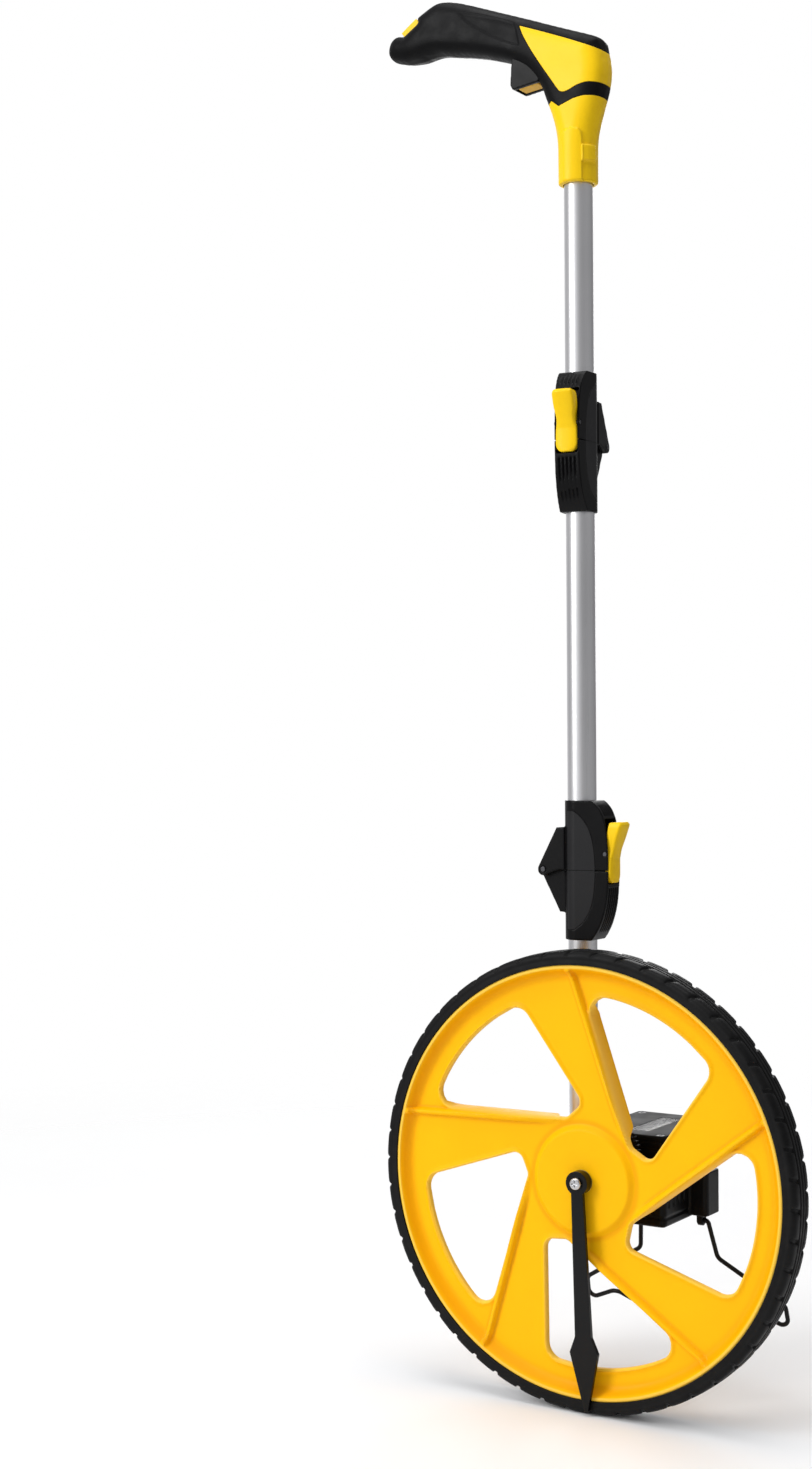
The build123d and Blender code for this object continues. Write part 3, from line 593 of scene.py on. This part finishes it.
def plate(name, u, w, wrap, region, heights, place, step):
    """Closed plate over a grid of (u, w) points; its edges follow the region's outline.

    region gives distance inside and the closest outline point, heights gives front and back."""
    inside, near_u, near_w = region(u, w)
    core = inside > 0.3 * step
    grown = with_neighbours(core, wrap)
    rows, columns = u.shape
    snap = grown & ~core
    u = np.where(snap, near_u, u)
    w = np.where(snap, near_w, w)
    inside = np.where(snap, 0.0, inside)
    front, back = heights(u, w, inside)
    number = -np.ones(u.shape, int)
    number[grown] = np.arange(grown.sum())
    total = int(grown.sum())
    points = [place(a, b, f) for a, b, f in zip(u[grown], w[grown], front[grown])]
    points += [place(a, b, f) for a, b, f in zip(u[grown], w[grown], back[grown])]
    across = columns if wrap else columns - 1
    faces = []
    for r in range(rows - 1):
        for c in range(across):
            n = (c + 1) % columns
            if core[r, c] or core[r + 1, c] or core[r, n] or core[r + 1, n]:
                faces.append((number[r, c], number[r + 1, c], number[r + 1, n], number[r, n]))
    edges = {}
    for face in faces:
        for a, b in zip(face, face[1:] + face[:1]):
            edges[(a, b)] = True
    walls = [(b, a, a + total, b + total) for a, b in edges if (b, a) not in edges]
    backs = [tuple(total + k for k in reversed(face)) for face in faces]
    return welded(bare_piece(name, points, faces + backs + walls), PLATE_WELD)


# ---- wheel --------------------------------------------------------------------------
# Drawn in millimetres about the axle: x to the right, y up, heights towards the pointer.
SPOKES = 5
SECTOR = 2 * pi / SPOKES
WINDOW_START, WINDOW_END = (1.5, 128.6), (98.0, 84.2)
WINDOW_INNER = ((36.0, 26.1), (50.5, 17.3))
RIB = ((-8.9, 144.7), (32.0, 30.0))
WEB, HUB_TOP, LIP_TOP = 4.5, 8.0, 12.0
WEB_BACK = WEB - 3.5
RIM_R = 149.5
BORE_R, HUB_FLAT_R, LIP_FOOT_R = 8, 34, 139
WHEEL_POINTS_ROUND = 900


def window_line():
    """Outline of one window: two straight sides and a curved crown, corners rounded."""
    r = hypot(*WINDOW_START)
    high, low = atan2(*reversed(WINDOW_START)), atan2(*reversed(WINDOW_END))
    crown = []
    for k in range(25):
        angle = low + (high - low) * k / 24
        crown.append((r * cos(angle), r * sin(angle)))
    a, b = WINDOW_INNER
    line = fillet_corner(b, WINDOW_END, crown[4], 11)
    line += crown[5:20]
    line += fillet_corner(crown[20], WINDOW_START, a, 11)
    line += fillet_corner(WINDOW_START, a, b, 6.5)
    line += fillet_corner(a, b, WINDOW_END, 6.5)
    return line


def turned(points, angle):
    return [(x * cos(angle) - y * sin(angle), x * sin(angle) + y * cos(angle)) for x, y in points]


def web_region(x, y):
    """Distance from the nearest window, and the closest point on its edge."""
    line = window_line()
    centre = atan2(WINDOW_START[1] + WINDOW_END[1], WINDOW_START[0] + WINDOW_END[0])
    angle, r = np.arctan2(y, x), np.hypot(x, y)
    turn = np.round((angle - centre) / SECTOR) * SECTOR
    fx, fy = r * np.cos(angle - turn), r * np.sin(angle - turn)
    best, near_x, near_y = np.full(x.shape, 1e9), fx, fy
    for k in (-1, 0, 1):
        inside, qx, qy = closest(turned(line, k * SECTOR), fx, fy)
        near = -inside < best
        best = np.where(near, -inside, best)
        near_x, near_y = np.where(near, qx, near_x), np.where(near, qy, near_y)
    c, s = np.cos(turn), np.sin(turn)
    return best, near_x * c - near_y * s, near_x * s + near_y * c


def from_segment(a, b, x, y):
    """Share of the way from a to b, and the distance from the segment."""
    dx, dy = b[0] - a[0], b[1] - a[1]
    t = np.clip(((x - a[0]) * dx + (y - a[1]) * dy) / (dx * dx + dy * dy), 0, 1)
    return t, np.hypot(x - a[0] - t * dx, y - a[1] - t * dy)


def wheel_faces(x, y, inside):
    r = np.hypot(x, y)
    front = WEB + (HUB_TOP - WEB) * ease(39.5, 34.5, r)
    front += (LIP_TOP - WEB) * np.clip((r - LIP_FOOT_R) / 7.8, 0, 1) ** 2.3
    front += 1.3 * ease(3.8, 1.2, inside) - 1.5 * (1 - np.clip(inside / 1.4, 0, 1)) ** 2
    back = np.full(x.shape, WEB_BACK)
    back -= 9 * ease(34.4, 35.6, r) * ease(39.2, 38.0, r)
    back = np.minimum(back, WEB_BACK - 13 * ease(21.0, 19.2, r))
    back = np.minimum(back, WEB_BACK - 13 * ease(143.0, 145.5, r))
    for k in range(SPOKES):
        a, b = turned(RIB, k * SECTOR)
        t, away = from_segment(a, b, x, y)
        crest = 4.1 * ease(2.9, 0.9, away) * (0.35 + 0.65 * ease(1.0, 0.72, t))
        front = front + crest * ease(40, 48, r)
        a, b = turned((WINDOW_START, WINDOW_INNER[0]), k * SECTOR)
        t, away = from_segment(a, b, x, y)
        wall = 9 * ease(4.2, 2.2, away) * ease(0.06, 0.14, t) * ease(0.95, 0.87, t)
        back = np.minimum(back, WEB_BACK - wall)
    front = np.minimum(front, LIP_TOP) - 0.9 * ease(148.4, 149.5, r)
    return front, back


def mark_wheel(wheel, axle):
    """Store where the moulding is crested, for a painted highlight, and where it is concave, for painted
    shade, for its material.
    """
    points = get_points(wheel)
    x, y = (points[:, 0] - axle.x) / MM, (points[:, 2] - axle.z) / MM
    fronts = (points[:, 1] < 0).astype(float)
    r, inside = np.hypot(x, y), web_region(x, y)[0]
    # Painted highlight along the window edges and the rim's lip.
    crest = np.maximum(ease(1.9, 0.6, inside), ease(146.4, 147.2, r)) * fronts
    # Painted shade inside the rim's lip, round the hub disc's edge and beside the ribs.
    by_rim = ease(136, 142.5, r) * ease(147, 144.5, r)
    by_hub = ease(38.4, 39.6, r) * ease(43.5, 40.5, r)
    painted_concave_shade = np.maximum(by_rim, by_hub)
    for k in range(SPOKES):
        away = from_segment(*turned(RIB, k * SECTOR), x, y)[1]
        by_rib = 0.8 * ease(1.8, 2.9, away) * ease(5.4, 3.4, away) * ease(44, 50, r)
        painted_concave_shade = np.maximum(painted_concave_shade, by_rib)
    for name, values in (("crest", crest), ("painted_concave_shade", painted_concave_shade * fronts)):
        layer = wheel.data.attributes.new(name, "FLOAT", "POINT")
        layer.data.foreach_set("value", values.astype(np.float32))


def add_wheel():
    axle = middle("wheel_hub")
    spans = [(BORE_R, HUB_FLAT_R, 13), (HUB_FLAT_R, 40, 10), (40, LIP_FOOT_R, 78), (LIP_FOOT_R, RIM_R, 17)]
    radii = [a + (b - a) * k / n for a, b, n in spans for k in range(n)] + [RIM_R]
    angles = np.arange(WHEEL_POINTS_ROUND) * 2 * pi / WHEEL_POINTS_ROUND
    r, a = np.meshgrid(radii, angles, indexing="ij")

    def place(x, y, height):
        return (axle.x + x * MM, -height * MM, axle.z + y * MM)

    x, y = r * np.cos(a), r * np.sin(a)
    wheel = plate("wheel_moulding", x, y, True, web_region, wheel_faces, place, 1.0)
    mark_wheel(wheel, axle)
    replaced = ["rim", "wheel_hub", "wheel_spokes"]
    finish_piece(wheel, "wheel", "wheel", replaced)
    sharpen(wheel, 42)


# ---- tyre ---------------------------------------------------------------------------
TREAD_BLOCKS = 50
GROOVE = 1.7 * MM
STAGGER, SLANT = 0.25, 0.22               # of a groove across the tyre, in block lengths


def add_tyre():
    """Tyre with two rows of rounded shoulder blocks and a ribbed crown."""
    low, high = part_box("tyre")
    centre = middle("tyre")
    outer = (high.z - low.z) / 2
    half = (high.y - low.y) / 2
    # across the tyre: (side position -1..1, depth below the crown, how much a groove cuts)
    section = [
        (-1.0, 9.6, 0.0), (-1.0, 8.9, 0.0), (-1.0, 6.6, 0.0), (-0.985, 5.6, 0.0), (-1.0, 5.0, 0.0),
        (-1.0, 3.6, 0.15), (-0.97, 2.4, 0.8), (-0.90, 1.3, 1.0), (-0.80, 0.55, 1.0), (-0.66, 0.2, 1.0),
        (-0.52, 0.12, 1.0), (-0.42, 0.12, 0.75), (-0.37, 1.3, 0.0), (-0.31, 1.3, 0.0), (-0.26, 0.0, 0.0),
        (-0.09, 0.0, 0.0), (-0.05, 0.7, 0.0), (0.05, 0.7, 0.0), (0.09, 0.0, 0.0),
        (0.26, 0.0, 0.0), (0.31, 1.3, 0.0), (0.37, 1.3, 0.0), (0.42, 0.12, 0.75), (0.52, 0.12, 1.0),
        (0.66, 0.2, 1.0), (0.80, 0.55, 1.0), (0.90, 1.3, 1.0), (0.97, 2.4, 0.8), (1.0, 3.6, 0.15),
        (1.0, 5.0, 0.0), (0.985, 5.6, 0.0), (1.0, 6.6, 0.0), (1.0, 8.9, 0.0), (1.0, 9.6, 0.0),
    ]
    # along one tread block: (position 0..1, groove depth share)
    steps = [(0.0, 1.0), (0.055, 0.95), (0.085, 0.3), (0.12, 0.08), (0.25, 0.0), (0.4, 0.0),
             (0.5, 0.0), (0.6, 0.0), (0.75, 0.0), (0.88, 0.08), (0.915, 0.3), (0.945, 0.95)]
    points = []
    rings = 0
    for block in range(TREAD_BLOCKS):
        for place, share in steps:
            rings += 1
            for side, depth, cut in section:
                stagger = STAGGER if side > 0 else -STAGGER
                shift = stagger + SLANT * abs(side) if cut else 0
                angle = 2 * pi * (block + place + shift) / TREAD_BLOCKS
                r = outer - depth * MM - GROOVE * cut * share
                points.append((
                    centre.x + r * cos(angle), centre.y + side * half, centre.z + r * sin(angle)))
    count = len(section)
    faces = ring_faces(rings, count, closed_ends=False, wrap=True)
    tyre = new_piece("tyre_tread", points, faces, "tyre", "wheel", ["tyre"])
    sharpen(tyre, 40)


# ---- springs ------------------------------------------------------------------------
LATCH_WIRE_R = 0.42 * MM
TRIGGER_WIRE_R = 0.36 * MM
STEPS_PER_TURN = 24
POINTS_ROUND_WIRE = 10
UPPER_TURN = radians(-84)                 # the upper fold joint, turned about the tube
AXIS_OF_SPRING = {
    "lower_latch_spring": Vector((0, 1, 0)),
    "upper_latch_spring": Vector((-sin(UPPER_TURN), cos(UPPER_TURN), 0)),
    "trigger_spring": Vector((0, 1, 0)),
}


def helix(name, node, body, wire_radius, turns):
    """Torsion spring in place of a CAD coil pack."""
    low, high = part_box(node)
    centre = middle(node)
    radius = (high.z - low.z) / 2 - wire_radius
    axis = AXIS_OF_SPRING[node]
    side = axis.orthogonal().normalized()
    other = axis.cross(side)
    reach = max(abs((v.co - centre).dot(axis)) for v in NODES[node].data.vertices) - wire_radius
    steps = turns * STEPS_PER_TURN
    path = []
    for k in range(steps + 1):
        angle = 2 * pi * k / STEPS_PER_TURN
        rise = (2 * k / steps - 1) * reach
        path.append(centre + axis * rise + (side * cos(angle) + other * sin(angle)) * radius)
    points = []
    for k, p in enumerate(path):
        ahead = (path[min(k + 1, steps)] - path[max(k - 1, 0)]).normalized()
        out = (p - centre - axis * (p - centre).dot(axis)).normalized()
        up = ahead.cross(out)
        for j in range(POINTS_ROUND_WIRE):
            a = 2 * pi * j / POINTS_ROUND_WIRE
            points.append(p + (out * cos(a) + up * sin(a)) * wire_radius)
    faces = ring_faces(steps + 1, POINTS_ROUND_WIRE)
    new_piece(name, points, faces, "steel", body, [node])


def add_springs():
    helix("lower_latch_coil", "lower_latch_spring", "middle", LATCH_WIRE_R, 4)
    helix("upper_latch_coil", "upper_latch_spring", "upper", LATCH_WIRE_R, 4)
    helix("trigger_coil", "trigger_spring", "upper", TRIGGER_WIRE_R, 3)


# ---- handle -------------------------------------------------------------------------
# Drawn in millimetres about the tube's axis: u along X, v along Y, w the height.
SLEEVE_FOOT = 863.2
HANDLE_STEP = 1.2                         # spacing of the handle's grid
SEAM = 0.35                               # gap between the handle's mouldings
BORE = 11.2                               # the sleeve's opening round the tube
GUARD_HALF, TRIGGER_ROOM_HALF = 10.5, 6.6
HANDLE_LINE = curve_through([
    (21.5, 963.8), (14.6, 968.2), (-12.4, 979), (-39.8, 990.2), (-67.9, 1001.4), (-87.8, 1009.3),
    (-99.3, 1013.2), (-109.5, 1015.2), (-116.5, 1014.4), (-125.7, 1010.4), (-133.9, 1006.2),
    (-131.8, 1003.0), (-144.4, 996.1), (-151.6, 997.2), (-157.4, 993.4), (-159.6, 986.6),
    (-158.6, 981.9), (-154.6, 978.5), (-143.8, 975.8), (-131.9, 975.2), (-124.5, 976.2),
    (-115.7, 976.7), (-102.5, 974.2), (-82.4, 969.6), (-68.1, 965.3), (-54.7, 960.4), (-41, 953.7),
    (-33, 946.5), (-26.4, 936.5), (-22.8, 927), (-20.6, 921), (-18.3, 914), (-16.2, 905),
    (-14.7, 894), (-14.4, 880), (-14.4, 845), (14.4, 845), (14.4, 880), (14.8, 894), (16.8, 905),
    (20.3, 919), (23.2, 930), (24.7, 940), (24.4, 948), (22.8, 957)],
    sharp=(0, 10, 11, 12, 35, 36))
HEAD_PANEL = curve_through([
    (-40, 982), (-24.3, 975.6), (-4, 967), (16, 958), (26, 953.8), (40, 948), (40, 931.2),
    (22.5, 931.7), (14.5, 932.2), (6.5, 930.9), (1.1, 928.9), (-2.9, 928), (-6.3, 928.6),
    (-8.3, 930.5), (-13.6, 938), (-23.1, 951.6), (-31.2, 964.4), (-36.7, 974.4)],
    sharp=(0, 5, 6))
BAND_TOP = [
    (-60, 929), (-40, 928), (-26, 924.5), (-21.5, 920.5), (-14.5, 923.2), (-8, 918.2),
    (-3, 919.7), (4, 921.8), (11.7, 922.8), (40, 922), (60, 921.5), (60, 850), (-60, 850)]
GUARD = [(-48.7, 968), (-50.4, 941.5), (-48.5, 938), (-27, 940.6), (-23.5, 947), (-26, 958)]
TRIGGER_ROOM = [(-47.8, 930), (-47.8, 961), (-38, 961), (-27, 956), (-27, 930)]
SIDE_PANEL = curve_through([
    (-92, 1001.5), (-79, 997.8), (-59, 991), (-45.5, 985.4), (-42.8, 980), (-40.1, 967.5),
    (-48.4, 970.8), (-59.5, 976.5), (-73.6, 985.2), (-85, 993.4)], sharp=(0, 3, 5), steps=3)
TONGUE = [(-5.4, 850), (-5.4, 897.5), (-3, 900.4), (1.8, 901.4), (6.6, 900.4), (9, 897.5), (9, 850)]


def handle_mesh(name, points, faces):
    """Piece in handle coordinates, moved to the tube's axis and to metres."""
    axis = middle("upper_tube")
    moved = [(axis.x + u * MM, axis.y + v * MM, w * MM) for u, v, w in points]
    return welded(bare_piece(name, moved, faces))


def prism(name, outline, reach=30.0):
    """Cutter: an outline in (u, w) pushed through the handle's width."""
    points = [(u, -reach, w) for u, w in outline] + [(u, reach, w) for u, w in outline]
    return handle_mesh(name, points, ring_faces(2, len(outline)))


def grown(outline, by):
    """Outline moved outwards, point by point along its normals."""
    area = sum(a[0] * b[1] - b[0] * a[1] for a, b in zip(outline, outline[1:] + outline[:1]))
    sign = 1 if area > 0 else -1
    moved = []
    count = len(outline)
    for k in range(count):
        a, b = Vector(outline[k - 1]), Vector(outline[(k + 1) % count])
        along = (b - a).normalized()
        moved.append((outline[k][0] + sign * along.y * by, outline[k][1] - sign * along.x * by))
    return moved


def boolean(piece, cutter, operation):
    modifier = piece.modifiers.new("cut", "BOOLEAN")
    modifier.operation = operation
    modifier.solver = "EXACT"
    modifier.object = cutter
    return apply_modifiers(piece)


def duplicate(piece, name):
    twin = bpy.data.objects.new(name, piece.data.copy())
    bpy.context.scene.collection.objects.link(twin)
    return twin


def drop(*pieces):
    for piece in pieces:
        bpy.data.objects.remove(piece)


def handle_region(u, w):
    inside, near_u, near_w = closest(HANDLE_LINE, u, w)
    foot = w - SLEEVE_FOOT
    at_foot = foot < inside
    near_u, near_w = np.where(at_foot, u, near_u), np.where(at_foot, SLEEVE_FOOT, near_w)
    return np.where(at_foot, foot, inside), near_u, near_w


def handle_sides(u, w, _):
    """The side outline swollen to a rounded body: round on the tube, flatter on the head."""
    inside = np.maximum(closest(HANDLE_LINE, u, w)[0], 0)
    neck = ease(934, 898, w)
    head = ease(-60, -15, u) * (1 - neck)
    reach = 13.6 + 0.8 * neck + 4.4 * head
    power = 2.5 - 0.5 * neck + 0.35 * head
    half = 15.2 - 0.8 * neck - 3.4 * ease(-128, -160, u)
    t = np.clip(inside / reach, 0, 1)
    side = half * (1 - (1 - t) ** power) ** (1 / power)
    return -side, side


def whole_handle():
    """Grip, head and sleeve as one moulded form."""
    columns = np.arange(-162, 28, HANDLE_STEP)
    rows = np.arange(SLEEVE_FOOT - 1, 1018, HANDLE_STEP)
    u, w = np.meshgrid(columns, rows, indexing="ij")
    axis = middle("upper_tube")

    def place(a, b, side):
        return (axis.x + a * MM, axis.y + side * MM, b * MM)

    whole = plate("whole_handle", u, w, False, handle_region, handle_sides, place, HANDLE_STEP)
    return reskinned(whole, 0.9, 5)


def carve_handle(handle):
    """Sunk side panels on the grip, and a tongue and a square boss on the sleeve."""
    axis = middle("upper_tube")
    points = get_points(handle)
    u, v, w = (points[:, 0] - axis.x) / MM, (points[:, 1] - axis.y) / MM, points[:, 2] / MM
    sunk = ease(-0.6, 0.9, closest(SIDE_PANEL, u, w)[0]) * ease(5, 9, np.abs(v)) * 0.9
    v = v - np.sign(v) * sunk
    out = np.hypot(u, v) + 1e-6
    tongue = ease(-0.4, 0.5, closest(TONGUE, u, w)[0]) * (v < 0) * 1.5
    azimuth = np.degrees(np.arctan2(v, u))
    boss = ease(24, 21, np.abs(azimuth + 30)) * ease(876.6, 877.8, w) * ease(889.6, 888.4, w) * 2.0
    push = (tongue + boss) * ease(906, 902, w)
    points[:, 0] = axis.x + u * (1 + push / out) * MM
    points[:, 1] = axis.y + v * (1 + push / out) * MM
    set_points(handle, points)


def tube_bore():
    """Room round the tube at the sleeve's foot."""
    around_count = 48
    points = []
    for w in (855, 876):
        for k in range(around_count):
            a = 2 * pi * k / around_count
            points.append((BORE * cos(a), BORE * sin(a), w))
    return handle_mesh("tube_bore", points, ring_faces(2, around_count))


def add_guard():
    """Trigger guard as a box with the trigger's room cut out and rounded edges, that runs up into the
    grip.
    """
    guard = prism("trigger_shroud", GUARD, GUARD_HALF)
    room = prism("room", grown(TRIGGER_ROOM, 0.15), TRIGGER_ROOM_HALF)
    boolean(guard, room, "DIFFERENCE")
    drop(room)
    reskinned(guard, 0.5, 3)
    finish_piece(guard, "black", "upper", ["trigger_guard"])
    sharpen(guard, 60)


def add_handle():
    whole = whole_handle()
    carve_handle(whole)
    panel_cut = prism("panel_cut", HEAD_PANEL)
    panel_room = prism("panel_room", grown(HEAD_PANEL, SEAM))
    sleeve_cut = prism("sleeve_cut", BAND_TOP)
    sleeve_room = prism("sleeve_room", grown(BAND_TOP, SEAM))
    room = prism("room", TRIGGER_ROOM, TRIGGER_ROOM_HALF)
    bore = tube_bore()
    panel = boolean(duplicate(whole, "handle_head_panel"), panel_cut, "INTERSECT")
    sleeve = boolean(duplicate(whole, "handle_sleeve"), sleeve_cut, "INTERSECT")
    boolean(sleeve, bore, "DIFFERENCE")
    grip = duplicate(whole, "grip_cover")
    for cutter in (panel_room, sleeve_room, room):
        boolean(grip, cutter, "DIFFERENCE")
    drop(whole, panel_cut, panel_room, sleeve_cut, sleeve_room, room, bore)
    finish_piece(panel, "yellow", "upper", ["handle_front_half"])
    finish_piece(sleeve, "yellow", "upper", ["handle_rear_half"])
    finish_piece(grip, "grip", "upper", ["grip_overmould"])
    for piece in (panel, sleeve, grip):
        sharpen(piece, 40)


# ---- moulded pieces taken from the CAD, with every edge rounded off -------------------
LOWER_JOINT_Z, UPPER_JOINT_Z = 370.0, 677.0


def softened(node, name, look, body, voxel, rounds, shape=None):
    piece = duplicate(NODES[node], name)
    piece.parent = None
    welded(piece)
    reskinned(piece, voxel, rounds)
    if shape:
        shape(piece)
    finish_piece(piece, look, body, [node])
    return sharpen(piece, 60)


def joint_frame(upper):
    """A fold joint's axis, its turn about the tube and its height in mm."""
    axis = middle("upper_tube")
    if upper:
        return axis, cos(UPPER_TURN), sin(UPPER_TURN), UPPER_JOINT_Z
    return axis, 1.0, 0.0, LOWER_JOINT_Z


def joint_place(points, upper):
    """Row frame to a joint's own frame, in mm: latch on +x, split at z = 0."""
    axis, c, s, height = joint_frame(upper)
    dx, dy = (points[:, 0] - axis.x) / MM, (points[:, 1] - axis.y) / MM
    return dx * c + dy * s, -dx * s + dy * c, points[:, 2] / MM - height


def joint_unplace(x, y, z, upper):
    axis, c, s, height = joint_frame(upper)
    across, along = x * c - y * s, x * s + y * c
    return np.stack([axis.x + across * MM, axis.y + along * MM, (z + height) * MM], 1)


def pillowed(upper):
    """Latch lever: crowned across its width, narrower at the waist, flared at the top."""
    def shape(piece):
        x, y, z = joint_place(get_points(piece), upper)
        across = np.clip(np.abs(y) / 8.0, 0, 1)
        outer = ease(22.5, 27.0, x - np.clip(z - 15, 0, 20) * 0.36)
        x = x - 1.3 * across ** 3 * outer
        low_end = np.clip((-2.6 - z) / 6.4, 0, 1)
        high_end = np.clip((z - 30.5) / 5.0, 0, 1)
        width = np.sqrt(1 - 0.80 * low_end ** 2) * np.sqrt(1 - 0.45 * high_end ** 2)
        y = y * width * (1 - 0.14 * np.exp(-((z - 15) / 6.0) ** 2))
        set_points(piece, joint_unplace(x, y, z, upper))
    return shape


def add_levers():
    for name, upper in (("lower", False), ("upper", True)):
        softened(f"{name}_latch_lever", f"{name}_latch_grip", "yellow", f"{name}_latch",
                 0.42, 6, pillowed(upper))


def add_joints():
    homes = {
        "lower_joint_lower_half": "frame", "lower_joint_upper_half": "middle",
        "upper_joint_lower_half": "middle", "upper_joint_upper_half": "upper",
    }
    for node, body in homes.items():
        softened(node, f"{node}_shell", "black", body, 0.5, 3)


GROOVE_HEIGHTS = (178.5, 131.5)
GROOVE_DEPTH = 0.75
FLUTE_PITCH = 8
SIDE_FLUTES, REAR_FLUTES = (34.0, 58.0), (-8.0, 38.0)


def grooved(piece):
    """Counter housing: a groove under the lid and one near the foot, flutes on the walls."""
    points = get_points(piece)
    low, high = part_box("counter_cover")
    x, y, z = points[:, 0] / MM, points[:, 1] / MM, points[:, 2] / MM
    grooves = [ease(1.5, 0.5, np.abs(z - height)) for height in GROOVE_HEIGHTS]
    rings = np.maximum(*grooves)
    tall = ease(138.0, 140.0, z) * ease(173.0, 171.0, z)
    for axis, across, (start, end) in ((0, y, SIDE_FLUTES), (1, x, REAR_FLUTES)):
        from_line = np.abs((across - start + FLUTE_PITCH / 2) % FLUTE_PITCH - FLUTE_PITCH / 2)
        flutes = ease(1.7, 0.5, from_line) * ease(start - 3, start - 2, across)
        depth = GROOVE_DEPTH * np.maximum(rings, flutes * ease(end + 3, end + 2, across) * tall)
        near = points[:, axis] / MM - low[axis] / MM
        far = high[axis] / MM - points[:, axis] / MM
        points[:, axis] += depth * ease(1.4, 0.5, near) * ease(-0.6, -0.3, near) * MM
        points[:, axis] -= depth * ease(1.4, 0.5, far) * ease(-0.6, -0.3, far) * MM
    set_points(piece, points)


def add_counter_shell():
    softened("counter_housing", "counter_shell", "black", "frame", 0.75, 3,
             grooved)
    softened("counter_cover", "counter_lid", "cover", "frame", 0.6, 3)


# ---- counter digits -----------------------------------------------------------------
DIGIT_TALL = 3.1
DIGIT_SHARE = 0.72                        # a numeral's height in its font's size
DIGIT_WIDEN = 1.25
DIGIT_PROUD = 0.06 * MM


def digit_mesh(digit, tall):
    """Flat generic numeral, cut finely enough to be wrapped round a drum."""
    curve = bpy.data.curves.new("numeral", "FONT")
    curve.body = str(digit)
    curve.size = tall / DIGIT_SHARE
    curve.align_x = "CENTER"
    curve.align_y = "CENTER"
    text = bpy.data.objects.new("numeral", curve)
    bpy.context.scene.collection.objects.link(text)
    bpy.context.view_layer.update()
    graph = bpy.context.evaluated_depsgraph_get()
    mesh = bpy.data.meshes.new_from_object(text.evaluated_get(graph))
    bpy.data.objects.remove(text)
    bm = bmesh.new()
    bm.from_mesh(mesh)
    bmesh.ops.triangulate(bm, faces=bm.faces)
    for _ in range(2):
        long_edges = [e for e in bm.edges if e.calc_length() > tall * 0.16]
        bmesh.ops.subdivide_edges(bm, edges=long_edges, cuts=1)
        bmesh.ops.triangulate(bm, faces=bm.faces)
    points = [tuple(v.co) for v in bm.verts]
    faces = [tuple(v.index for v in f.verts) for f in bm.faces]
    bm.free()
    return points, faces


def add_digits():
    """Numerals 0 to 9 round each drum; the units drum is the one by the wheel."""
    glyphs = [digit_mesh(k, DIGIT_TALL) for k in range(10)]
    bodies = ["counter_input", "drum_2", "drum_3", "drum_4", "drum_5"]
    for place, body in enumerate(bodies):
        node = f"digit_drum_{place + 1}"
        low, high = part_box(node)
        centre = middle(node)
        radius = (high.z - low.z) / 2 + DIGIT_PROUD
        points, faces = [], []
        for digit, (glyph, triangles) in enumerate(glyphs):
            first = len(points)
            for gx, gy, _ in glyph:
                angle = 2 * pi * digit / 10 + gy * MM / radius
                points.append((centre.x + radius * sin(angle), centre.y - gx * DIGIT_WIDEN * MM,
                               centre.z + radius * cos(angle)))
            faces += [tuple(first + k for k in t) for t in triangles]
        name = f"numerals_{place + 1}"
        new_piece(name, points, faces, "ink", body, smooth=False)


# ---- build --------------------------------------------------------------------------
dress_cad_nodes()
add_tyre()
add_wheel()
add_handle()
add_guard()
add_levers()
add_joints()
add_counter_shell()
add_springs()
add_digits()
add_floor()
add_studio()
add_camera()
